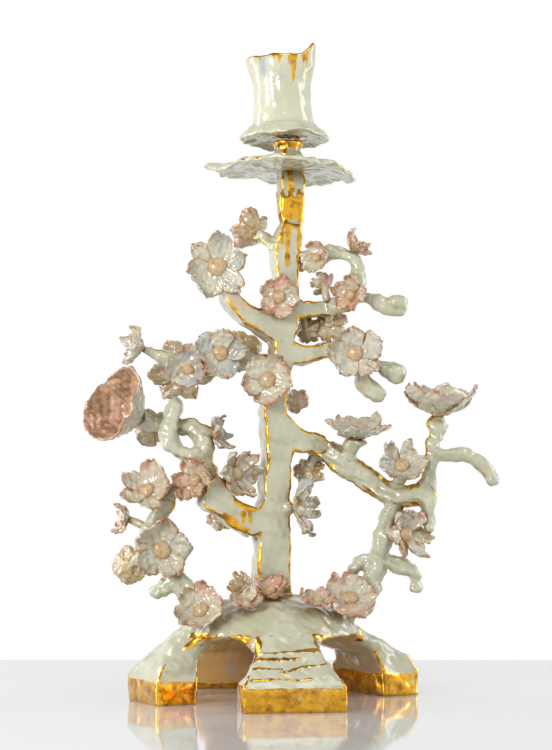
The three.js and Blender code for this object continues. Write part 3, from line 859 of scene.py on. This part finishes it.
def stained(points, normals, owner, names):
    """Painted shade as brown-tan glaze: under the dome and on the inner sides of three feet, where shade
    falls.
    """
    stain = np.zeros(len(points))
    for i, name in enumerate(names):
        mine = owner == i
        if name == "base_dome":
            stain[mine] = smoothstep(-0.2, -0.6, normals[mine, 2])
        if name == "foot_back":
            stain[mine] = smoothstep(-0.2, 0.5, -(normals[mine] @ BEHIND))
        if name in ("foot_left", "foot_right"):
            inward = np.einsum("ij,ij->i", normals[mine], DOME_MIDDLE - points[mine]) / (60 * MM)
            stain[mine] = SIDE_SHADE * smoothstep(0.3, 0.8, inward)
    return MOST_SHADE * stain


def clay_piece(name, points, normals, field, stain, faces):
    used, local = np.unique(faces, return_inverse=True)
    mesh = make_mesh(f"{name}_clay", points[used], local.reshape(faces.shape))
    paint(mesh, gold_distance=field[used], stain=stain[used])
    part = bmesh.new()
    part.from_mesh(mesh)
    rims = [edge for edge in part.edges if edge.is_boundary]
    bmesh.ops.holes_fill(part, edges=rims, sides=0)
    part.to_mesh(mesh)
    part.free()
    obj = make_object(f"{name}_clay", mesh, CLAY)
    mesh.normals_split_custom_set_from_vertices([tuple(n) for n in normals[used]])
    stands_for(obj, name)


# ---------- flowers ----------
def flower_axes(outward, spin):
    """Two directions across a flower, turned by spin about its outward direction."""
    side = np.cross(UP if abs(outward[2]) < 0.95 else RIGHT, outward)
    side /= np.linalg.norm(side)
    other = np.cross(outward, side)
    return (
        math.cos(spin) * side + math.sin(spin) * other,
        -math.sin(spin) * side + math.cos(spin) * other,
    )


PETAL_ROWS, PETAL_COLUMNS = 13, 13


def ragged(along, rng, sizes=(0.5, 0.3, 0.3), waves_each=(3.0, 7.0, 13.0)):
    """An uneven torn edge along a line from 0 to 1."""
    return sum(
        size * np.sin(number * along + rng.uniform(0, 2 * math.pi))
        for size, number in zip(sizes, waves_each)
    )


def petal_grid(reach, style, rng):
    """One petal as a grid in its own frame: along it, across it, and up out of the flower."""
    closer_at_the_tip = 1 - (1 - np.linspace(0, 1, PETAL_ROWS)) ** 1.5
    rows = closer_at_the_tip[:, None] * np.ones((1, PETAL_COLUMNS))
    columns = np.ones((PETAL_ROWS, 1)) * np.linspace(-1, 1, PETAL_COLUMNS)[None, :]
    start = 0.1 * reach
    length = reach * rng.uniform(0.88, 1.04) - start
    width = reach * math.tan(math.pi / style["petals"]) * rng.uniform(0.58, 0.7) * style["fused"]
    swell = 0.36 + 0.64 * np.sin(math.pi / 2 * np.minimum(1, rows / 0.6))
    tip = np.sqrt(1 - 0.9 * np.clip((rows - 0.56) / 0.44, 0, 1) ** 2.4)
    left, right = ragged(rows, rng), ragged(rows, rng)
    torn = np.where(columns < 0, left, right) * np.abs(columns) * rows
    across = columns * width * swell * tip * (1 + 0.2 * torn)
    notch = rng.uniform(0.0, 0.12) * np.exp(-(((columns - rng.uniform(-0.4, 0.4)) / 0.25) ** 2))
    end = 0.08 * ragged(columns, rng) - notch
    along = start + length * rows * (1 - 0.1 * columns**2 * rows + end * rows**3)
    fold = style["crumple"] * reach
    rise = style["dish"] * reach * rows**1.6
    rise += rng.uniform(0.05, 0.32) * fold * columns**2 * rows
    rise += rng.uniform(-0.16, 0.14) * fold * rows**3
    rise += rng.uniform(-0.24, 0.24) * fold * columns * rows
    rise += rng.uniform(-0.16, 0.18) * fold * np.abs(columns) ** 3 * rows**3
    rise += 0.11 * fold * ragged(columns, rng) * rows**2
    rise += 0.1 * fold * torn * np.abs(columns)
    rim = np.maximum(np.abs(columns) ** 4, rows**4)
    return along, across, rise, rim


def grid_faces(start, rows, columns):
    faces = []
    for i in range(rows - 1):
        for j in range(columns - 1):
            a = start + i * columns + j
            faces.append((a, a + columns, a + columns + 1, a + 1))
    return faces


def thickened(name, mesh, seed):
    """The sheet of clay given its thickness, rounded and made uneven."""
    obj = make_object(name, mesh, PETAL)
    thick = obj.modifiers.new("thick", "SOLIDIFY")
    thick.thickness = PETAL_THICKNESS
    thick.offset = 0
    fine = obj.modifiers.new("fine", "SUBSURF")
    fine.levels = 1
    fine.render_levels = 1
    mesh = applied(obj)
    points = points_of(mesh)
    bumps = 0.36 * waves(points, 4.5 * MM, seed + 7)
    set_points(mesh, points + (bumps * MM)[:, None] * normals_of(mesh))
    return mesh


def petals(name, root, outward, reach, style, seed):
    """All the petals of one flower, as one piece."""
    rng = np.random.default_rng(seed)
    points, faces, rims, blushes = [], [], [], []
    count = style["petals"]
    for k in range(count):
        along, across, rise, rim = petal_grid(reach, style, rng)
        angle = style["spin"] + 2 * math.pi * (k + rng.uniform(-0.09, 0.09)) / count
        ahead, aside = flower_axes(outward, angle)
        lift = (0.5 if k % 2 else -0.2) * MM
        place = (
            root
            + along.reshape(-1, 1) * ahead
            + across.reshape(-1, 1) * aside
            + (rise.reshape(-1, 1) + lift) * outward
        )
        faces += grid_faces(len(points) * PETAL_ROWS * PETAL_COLUMNS, PETAL_ROWS, PETAL_COLUMNS)
        points.append(place)
        rims.append(rim.ravel())
        blushes.append(np.full(rim.size, style["blush"] + rng.uniform(-0.4, 0.4)))
    mesh = make_mesh(name, np.vstack(points), faces)
    khaki = np.full(len(mesh.vertices), style["khaki"])
    paint(mesh, rim=np.concatenate(rims), blush=np.concatenate(blushes), khaki=khaki)
    return make_object(name, thickened(name, mesh, seed), PETAL)


def heart(name, root, outward, radius, seed, front, back):
    """A pressed pellet of clay: a rounded disc that stands out in front and behind."""
    side, other = flower_axes(outward, 0.0)
    turns = np.linspace(0, 2 * math.pi, 28, endpoint=False)
    rings = []
    for share in np.linspace(-1, 1, 15):
        out = math.sqrt(max(0.0, 1 - abs(share) ** 2.6))
        up = front * share if share > 0 else back * share
        ring = root + up * outward + radius * max(out, 0.04) * (
            np.outer(np.cos(turns), side) + np.outer(np.sin(turns), other)
        )
        rings.append(ring)
    points, faces = tube(rings)
    mesh = make_mesh(name, points, faces)
    uneven = 0.05 * radius * waves(points, 1.3 * radius, seed)
    set_points(mesh, points + uneven[:, None] * normals_of(mesh))
    return make_object(name, mesh, BUTTON)


BOWL_DEPTH = 1.15  # beside the bowl's reach
BOWL_TIP = (0.2, -0.03)  # the bowl leans this much to the right of its CAD direction, and up
BOWL_SHIFT = (3, -2.5)  # to the right and up, mm
BOWL_SHARE = 0.97  # of the CAD bowl's reach
BOWL_OVAL = 0.12  # how much longer it is across one way than the other
BOWL_LONG_WAY = 60  # which way it is longest, in degrees from level
BOWL_FLARE = 0.78
OUTSIDE_BLUSH = -1.5  # the bowl's outside is paler than its inside by this much


def bowl(name, root, outward, reach, style, seed):
    """A deep thin-walled bowl with a torn rim, pinched from one piece of clay."""
    rng = np.random.default_rng(seed)
    rows, columns = 26, 96
    up, turns = np.meshgrid(
        np.linspace(0, 1, rows), np.linspace(0, 2 * math.pi, columns, endpoint=False), indexing="ij"
    )
    outward = outward + BOWL_TIP[0] * RIGHT + BOWL_TIP[1] * UP
    outward = outward / np.linalg.norm(outward)
    reach = BOWL_SHARE * reach
    root = root + MM * (BOWL_SHIFT[0] * RIGHT + BOWL_SHIFT[1] * UP)
    ahead, aside = flower_axes(outward, 0.0)
    oval = BOWL_OVAL * np.cos(2 * (turns - math.radians(BOWL_LONG_WAY)))
    pleat = oval + 0.1 * rag(turns, seed, (2, 3, 5, 7)) + 0.06 * rag(turns, seed + 1, (9, 14, 22))
    out = reach * (0.12 + 0.98 * up**BOWL_FLARE) * (1 + pleat * up)
    torn = 0.13 * rag(turns, seed + 2, (2, 4, 7)) + 0.06 * rag(turns, seed + 3, (11, 19, 31))
    rise = BOWL_DEPTH * reach * (up**1.35 + torn * up**4)
    place = (
        root
        + (out * np.cos(turns))[..., None] * ahead
        + (out * np.sin(turns))[..., None] * aside
        + rise[..., None] * outward
    )
    points, faces = tube(place, closed_ends=False)
    points = np.vstack([points, root - 0.01 * reach * outward])
    faces += [(len(points) - 1, (j + 1) % columns, j) for j in range(columns)]
    mesh = make_mesh(name, points, faces)
    rim = np.append(up.ravel() ** 6, 0)
    blush = style["blush"] + 0.4 * waves(points, 12 * MM, seed)
    paint(mesh, rim=rim, blush=blush, khaki=np.full(len(points), style["khaki"]))
    mesh = thickened(name, mesh, seed)
    points, normals = points_of(mesh), normals_of(mesh)
    away = points - root - np.outer((points - root) @ outward, outward)
    outside = np.einsum("ij,ij->i", normals, away) > 0
    values = np.empty(len(points), dtype=np.float32)
    mesh.attributes["blush"].data.foreach_get("value", values)
    mesh.attributes["blush"].data.foreach_set("value", values + np.where(outside, OUTSIDE_BLUSH, 0))
    return make_object(name, mesh, PETAL)


def flower(name, seed):
    root, outward, reach = PLACES[name]
    style = {**PLAIN, **STYLES.get(name, {})}
    build = bowl if style["bowl"] else petals
    made = build(f"{name}_petals", root, outward, reach, style, seed)
    stands_for(made, name)
    if style["bowl"]:
        return
    button = heart(
        f"{name}_button", root, outward, BUTTON_SHARE * reach * 1.04, seed + 31,
        front=BUTTON_FACE + 0.9 * MM, back=2.2 * MM,
    )
    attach(button, "root")


# ---------- candle holder ----------
SEGMENTS = 240
CUP_WALL = 3.2


def resampled(profile, step=0.9):
    """The profile with a point every step, its corners a little rounded."""
    line = np.array(profile, float)
    for _ in range(2):
        first, last = line[:1], line[-1:]
        line = np.vstack([first, *(
            np.vstack([0.8 * a + 0.2 * b, 0.2 * a + 0.8 * b]) for a, b in zip(line[:-1], line[1:])
        ), last])
    reach = np.concatenate([[0], np.cumsum(np.linalg.norm(np.diff(line, axis=0), axis=1))])
    at = np.linspace(0, reach[-1], int(reach[-1] / step) + 2)
    return np.column_stack([np.interp(at, reach, line[:, 0]), np.interp(at, reach, line[:, 1])])


def axis_of(node):
    """The middle of a turned CAD node, seen from above."""
    low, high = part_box(node)
    return np.array([(low[0] + high[0]) / 2, (low[1] + high[1]) / 2, 0.0])


def rag(angle, seed, numbers=(2, 3, 5, 8, 13, 21)):
    """A closed uneven line round a rim, about -1 to 1."""
    rng = np.random.default_rng(seed)
    return sum(
        np.sin(number * angle + rng.uniform(0, 2 * math.pi)) / (1 + 0.16 * number) for number in numbers
    ) / 1.6


def untinted(reach, height, angle):
    return 0 * reach


def with_ends(values):
    """Values on rings of points, and one more for the middle of each end."""
    return np.concatenate([values.ravel(), values[0, :1], values[-1, :1]])


def turned(node, middle, profile, shape, gold, seed, lumps, tint=untinted):
    """A hand-turned piece in place of a CAD node.

    profile is (reach, height) in mm, shape(reach, height, angle) bends it, gold(reach, height,
    angle) says how far a point is from gold, tint(reach, height, angle) goes from -1 on a blue dab
    to 1 on a pink one, and angle is 0 at the right and 270 degrees in front.
    """
    line = resampled(profile)
    turns = np.linspace(0, 2 * math.pi, SEGMENTS, endpoint=False)
    reach = line[:, :1] * np.ones(SEGMENTS)
    height = line[:, 1:] * np.ones(SEGMENTS)
    angle = np.ones((len(line), 1)) * turns[None, :]
    field = with_ends(gold(reach, height, angle))
    dabs = with_ends(tint(reach, height, angle))
    shift, reach, height = shape(reach, height, angle)
    rings = (
        middle
        + MM * (reach * np.cos(angle) + shift)[..., None] * RIGHT
        + MM * (reach * np.sin(angle))[..., None] * BEHIND
        + MM * height[..., None] * UP
    )
    points, faces = tube(rings)
    mesh = make_mesh(f"{node}_clay", points, faces)
    rise = waves(points, 12 * MM, seed) + 0.3 * waves(points, 5 * MM, seed + 1)
    set_points(mesh, points + (lumps * MM * rise)[:, None] * normals_of(mesh))
    paint(mesh, gold_distance=field, stain=np.zeros(len(points)), dab=dabs)
    obj = make_object(f"{node}_clay", mesh, CLAY)
    stands_for(obj, node)


def near_angle(angle, degrees, radius):
    """How far round a wall of this radius a point is from a direction, in mm."""
    turn = angle - math.radians(degrees)
    return np.abs(np.arctan2(np.sin(turn), np.cos(turn))) * radius


def drip_pan():
    low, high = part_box("drip_pan")
    radius = (high[0] - low[0]) / MM / 2
    top = high[2] / MM
    profile = [
        (0, top - 8.5), (13, top - 8.3), (30, top - 7.2), (radius - 3, top - 8.0), (radius, top - 8.4),
        (radius + 0.4, top - 6.8), (radius - 1.2, top - 5.4), (30, top - 4.4), (13, top - 1.4), (0, top - 1),
    ]

    def shape(reach, height, angle):
        out = (reach / radius) ** 3
        reach = reach * (1 + out * (0.04 * rag(angle, 5) + 0.045 * rag(angle, 6, (17, 29, 41))))
        fold = 3.2 * rag(angle, 7, (2, 3, 5)) + 2.2 * rag(angle, 8, (9, 14, 23, 37))
        droop = -3.2 * np.cos(angle + 0.6) - 1.6
        ribs = 0.7 * rag(angle, 9, (11, 18, 27)) * np.sin(math.pi * np.clip(reach / radius, 0, 1))
        return 0 * reach, reach, height + out * (fold + droop) + ribs

    def gold(reach, height, angle):
        thin = 0.9 + 1.3 * rag(angle, 11, (4, 9, 17, 31))
        return np.abs(height - (top - 6.6)) + (radius - reach) * 1.2 + thin - 0.6

    turned("drip_pan", axis_of("drip_pan"), profile, shape, gold, 41, 0.35)


def cup_flange():
    low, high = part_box("cup_flange")
    radius = (high[0] - low[0]) / MM / 2
    top = high[2] / MM
    profile = [
        (0, top - 6.5), (9, top - 6.5), (19, top - 5.4), (radius - 2, top - 6.6), (radius, top - 5.4),
        (radius - 1, top - 4), (23, top - 0.6), (19.5, top + 1.6), (0, top + 1.8),
    ]

    def shape(reach, height, angle):
        out = np.clip((reach - 19) / (radius - 19), 0, 1) ** 1.5
        reach = reach * (1 + out * (0.06 * rag(angle, 15) + 0.025 * rag(angle, 16, (15, 27))))
        fold = 1.3 * rag(angle, 17, (3, 5, 7)) + 0.9 * rag(angle, 18, (11, 16, 25))
        return 0 * reach, reach, height + out * (fold - 1.2)

    def gold(reach, height, angle):
        ring = np.abs(reach - 11) - 1.1 - 0.8 * rag(angle, 19, (3, 7))
        return np.where(height < top - 4, ring, NOT_GOLD)

    turned("cup_flange", axis_of("cup_flange"), profile, shape, gold, 43, 0.35)


def cup_neck():
    low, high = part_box("cup_neck")
    radius = (high[0] - low[0]) / MM / 2
    bottom, top = low[2] / MM, high[2] / MM
    profile = [
        (0, bottom), (radius + 1.5, bottom), (radius, bottom + 2.5), (radius - 0.6, (bottom + top) / 2),
        (radius + 0.6, top - 2), (radius + 1.2, top), (0, top),
    ]

    def shape(reach, height, angle):
        return 0 * reach, reach * (1 + 0.06 * rag(angle, 25, (2, 3, 5))), height

    def gold(reach, height, angle):
        return 1.1 * rag(angle, 26, (3, 5, 8)) + np.where(height > (bottom + top) / 2, -1.0, 0.7)

    turned("cup_neck", axis_of("cup_neck"), profile, shape, gold, 47, 0.25)


# Drips of gold down the cup: degrees round it, half width and length in mm.
CUP_DRIPS = [(292, 2.4, 18), (283, 0.8, 7), (266, 2.0, 6), (256, 1.6, 4), (312, 0.9, 9), (318, 0.6, 15),
             (228, 1.2, 4), (120, 1.4, 9), (60, 1.0, 6)]
PINK_DAB, BLUE_DAB = 204, 232  # where colour runs down from the cup's lip, in degrees
LIP_OUT = 3.0  # the left of the cup's lip is kicked out this far, mm
TONGUE_AT = -25  # where the torn point of the lip stands up, in degrees
TONGUE_SPREAD = 0.34  # its half width, in radians


def candle_cup():
    low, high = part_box("candle_cup")
    seat = np.array(next(m for m in frame["record"]["mounts"] if m["name"] == "candle_seat")["pos_m"])
    socket = max(
        math.hypot(v.co.x - seat[0], v.co.y - seat[1])
        for v in NODES["candle_cup"].data.vertices if abs(v.co.z - seat[2]) < 0.1 * MM
    ) / MM
    bottom, floor, top = low[2] / MM, seat[2] / MM, high[2] / MM
    rim = top - 6.5
    wall = socket + CUP_WALL
    profile = [
        (0, bottom - 1.5), (wall + 2.6, bottom - 1.5), (wall + 0.8, bottom + 3), (wall - 0.2, bottom + 12),
        (wall + 0.2, rim - 12), (wall + 0.9, rim - 1.2), (wall + 0.2, rim), (wall - 0.9, rim - 0.4),
        (socket, rim - 6), (socket, floor + 1), (socket - 1, floor), (0, floor),
    ]

    def shape(reach, height, angle):
        up = np.clip((height - bottom) / (rim - bottom), 0, 1)
        outside = np.clip((reach - socket) / 1.5, 0, 1)
        left = np.exp(-((near_angle(angle, 190, 1) / 0.5) ** 2))
        lip = smoothstep(0.6, 1.0, up)
        tongue = np.exp(-((near_angle(angle, TONGUE_AT, 1) / TONGUE_SPREAD) ** 2))
        waist = -0.9 * np.sin(math.pi * up) ** 2
        fold = 0.8 * rag(angle, 31, (3, 5, 8, 13)) * np.sin(math.pi * up) + 0.5 * rag(angle, 32, (7, 11))
        fold = fold + waist
        reach = reach + outside * (fold + lip * (LIP_OUT * left + 3.4 * tongue))
        at_rim = smoothstep(0.93, 1.0, up)
        height = height + at_rim * (0.9 * rag(angle, 33, (2, 5, 9)) + 0.5 * rag(angle, 34, (13, 22)))
        height = height + smoothstep(0.86, 1.0, up) * 7.5 * tongue ** 1.3
        return -1.2 * up * outside, reach, height

    def gold(reach, height, angle):
        depth = rim - height
        field = depth - 0.9 - 0.8 * rag(angle, 35, (3, 8, 15))
        for degrees, width, length in CUP_DRIPS:
            narrowing = width * np.clip(1.15 - depth / length, 0.0, 1)
            drip = near_angle(angle, degrees, wall) - narrowing + np.clip(depth - length, 0, 99)
            field = np.minimum(field, drip)
        return np.where(reach > socket + 0.5, field, np.maximum(field, depth - 2))

    def tint(reach, height, angle):
        depth = rim - height
        pink = smoothstep(5, 0, near_angle(angle, PINK_DAB, wall)) * smoothstep(8, 3, depth)
        blue = smoothstep(4, 0, near_angle(angle, BLUE_DAB, wall)) * smoothstep(20, 8, depth)
        return pink - blue

    turned("candle_cup", np.array([seat[0], seat[1], 0.0]), profile, shape, gold, 53, 0.22, tint)


# ---------- small flowers behind the others ----------
# Visual only: beside a CAD flower, (right, behind, up) in mm, reach in mm, (turn, tilt) in degrees.
SMALL_FLOWERS = {
    "small_flower_top": ("flower_loop_front", (4, 9, -15), 8, (-150, 30), dict(blush=0.7)),
    "small_flower_fork": ("flower_right_back", (-14, 0, -4), 8, (160, 0), dict(blush=0.3, khaki=0.5)),
    "small_flower_rear": ("flower_trunk_middle", (16, 24, -11), 8, (150, 10), dict(blush=0.8)),
    "small_flower_stub": ("flower_trunk_right", (-46, 14, -5), 8, (-165, -20), dict(blush=1.0)),
    "small_flower_left": ("flower_loop_bowl", (-13, 13, -16), 9.5, (-80, 0), dict(blush=0.3)),
}


def small_flower(name, seed):
    anchor, (right, behind, up), reach, (turn, tilt), look = SMALL_FLOWERS[name]
    root = PLACES[anchor][0] + MM * (right * RIGHT + behind * BEHIND + up * UP)
    outward = facing(turn, tilt)
    style = {**PLAIN, "dish": 0.4, **look}
    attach(petals(f"{name}_petals", root, outward, reach * MM, style, seed), "root")
    button = heart(
        f"{name}_button", root, outward, BUTTON_SHARE * reach * MM, seed + 31,
        front=BUTTON_FACE, back=2.2 * MM,
    )
    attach(button, "root")
    search = owner_tree(CLAY_NODES)[0]
    hit = np.array(search.find_nearest(Vector(root))[0])
    points, faces = peg(root, hit + (hit - root) / np.linalg.norm(hit - root) * 2 * MM, 2.4 * MM)
    mesh = make_mesh(f"{name}_stalk", points, faces)
    # The stalk gets a little brown painted shade, as it stands behind the flowers
    paint(mesh, gold_distance=np.full(len(points), NOT_GOLD), stain=np.full(len(points), 0.2))
    stalk = make_object(f"{name}_stalk", mesh, CLAY)
    fine = stalk.modifiers.new("fine", "SUBSURF")
    fine.levels = fine.render_levels = 2
    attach(stalk, "root")


clay_body()
drip_pan()
cup_flange()
cup_neck()
candle_cup()
for index, flower_name in enumerate(FLOWER_NAMES):
    flower(flower_name, 100 + 17 * index)
for index, flower_name in enumerate(SMALL_FLOWERS):
    small_flower(flower_name, 900 + 17 * index)


# ---------- stage, light and camera ----------
PLATE_BACK = 0.29  # the sheet's far edge makes the faint horizon behind the feet
PLATE_FRONT = 0.95
PLATE_SIDE = 0.62
PLATE_THICKNESS = 3 * MM


def floor_plate():
    """A pale glossy sheet that the candlestick stands on."""
    shading = Shading("pale_acrylic")
    cloud = shading.noise(300 * MM, 2.0)
    shading.finish(
        Base_Color=shading.blend(cloud, (0.58, 0.59, 0.59, 1), (0.62, 0.63, 0.63, 1)),
        Roughness=0.05,
        IOR=1.9,
    )
    mesh = bpy.data.meshes.new("floor_plate")
    block = bmesh.new()
    size = Matrix.Diagonal((2 * PLATE_SIDE, PLATE_FRONT + PLATE_BACK, PLATE_THICKNESS, 1))
    turn = Matrix.Rotation(-DISPLAY_TURN, 4, "Z")
    middle = AXIS + (PLATE_BACK - PLATE_FRONT) / 2 * BEHIND - PLATE_THICKNESS / 2 * UP
    bmesh.ops.create_cube(block, size=1, matrix=Matrix.Translation(middle) @ turn @ size)
    block.to_mesh(mesh)
    block.free()
    obj = bpy.data.objects.new("floor_plate", mesh)
    bpy.context.scene.collection.objects.link(obj)
    mesh.materials.append(shading.material)


def area_light(name, place, aim, size, power):
    lamp = bpy.data.lights.new(name, "AREA")
    lamp.shape = "RECTANGLE"
    lamp.size, lamp.size_y = size
    lamp.energy = power
    obj = bpy.data.objects.new(name, lamp)
    bpy.context.scene.collection.objects.link(obj)
    obj.location = place
    obj.rotation_euler = (Vector(aim) - Vector(place)).to_track_quat("-Z", "Y").to_euler()


# How strongly the white surroundings light the candlestick: from the viewer's side and from behind,
# and at its own level and straight up or down.
FRONT_TO_BEHIND = (1.1, 0.95)
LEVEL_TO_UPRIGHT = (1.0, 0.25)
# Each lamp's place (right, behind, up) in mm, its width and height in metres, and its power.
LAMPS = {
    "light_left": ((-850, 120, 420), (0.35, 1.0), 4.5),
    "light_right": ((850, 120, 420), (0.35, 1.0), 4),
    "light_front_left": ((-600, -900, 450), (0.35, 0.35), 7),
    "light_top": ((250, -500, 1100), (0.4, 0.4), 1.5),
}
LAMPS_AIM = (0, 0, 190)


def fade(tree, value, reach, strengths):
    """Goes from the first strength to the second as the value crosses its reach."""
    made = tree.nodes.new("ShaderNodeMapRange")
    tree.links.new(value, made.inputs["Value"])
    for key, number in zip(("From Min", "From Max", "To Min", "To Max"), (*reach, *strengths)):
        made.inputs[key].default_value = number
    return made.outputs["Result"]


def product(tree, one, other):
    made = tree.nodes.new("ShaderNodeMath")
    made.operation = "MULTIPLY"
    tree.links.new(one, made.inputs[0])
    tree.links.new(other, made.inputs[1])
    return made.outputs[0]


def surroundings():
    """Plain white to the camera; as light, strongest level with the object."""
    world = bpy.data.worlds.new("studio")
    bpy.context.scene.world = world
    world.use_nodes = True
    tree = world.node_tree
    background = tree.nodes["Background"]
    where = tree.nodes.new("ShaderNodeTexCoord").outputs["Generated"]
    aim = tree.nodes.new("ShaderNodeVectorMath")
    aim.operation = "DOT_PRODUCT"
    tree.links.new(where, aim.inputs[0])
    aim.inputs[1].default_value = tuple(BEHIND)
    upright = tree.nodes.new("ShaderNodeSeparateXYZ")
    tree.links.new(where, upright.inputs[0])
    steepness = product(tree, upright.outputs["Z"], upright.outputs["Z"])
    depth = fade(tree, aim.outputs["Value"], (-0.8, 0.7), FRONT_TO_BEHIND)
    level = fade(tree, steepness, (0.05, 0.8), LEVEL_TO_UPRIGHT)
    path = tree.nodes.new("ShaderNodeLightPath")
    pick = tree.nodes.new("ShaderNodeMix")
    tree.links.new(path.outputs["Is Camera Ray"], pick.inputs["Factor"])
    tree.links.new(product(tree, depth, level), pick.inputs["A"])
    pick.inputs["B"].default_value = 1.0
    tree.links.new(pick.outputs["Result"], background.inputs["Strength"])
    background.inputs["Color"].default_value = (1, 1, 1, 1)


def studio():
    floor_plate()
    surroundings()
    for name, (place, size, power) in LAMPS.items():
        area_light(name, seen(*place), seen(*LAMPS_AIM), size, power)


CAMERA_DISTANCE = 1100  # mm
CAMERA_HEIGHT = 107  # mm
CAMERA_PITCH = math.radians(4.4)
CAMERA_LENS = 88.3


def camera():
    lens = bpy.data.cameras.new("camera")
    lens.lens = CAMERA_LENS
    lens.sensor_width = 36
    lens.sensor_fit = "AUTO"
    obj = bpy.data.objects.new("camera", lens)
    bpy.context.scene.collection.objects.link(obj)
    obj.location = seen(0, -CAMERA_DISTANCE, CAMERA_HEIGHT)
    obj.rotation_euler = (math.pi / 2 + CAMERA_PITCH, 0, -DISPLAY_TURN)
    bpy.context.scene.camera = obj


studio()
camera()
bpy.context.scene.view_settings.view_transform = "Standard"
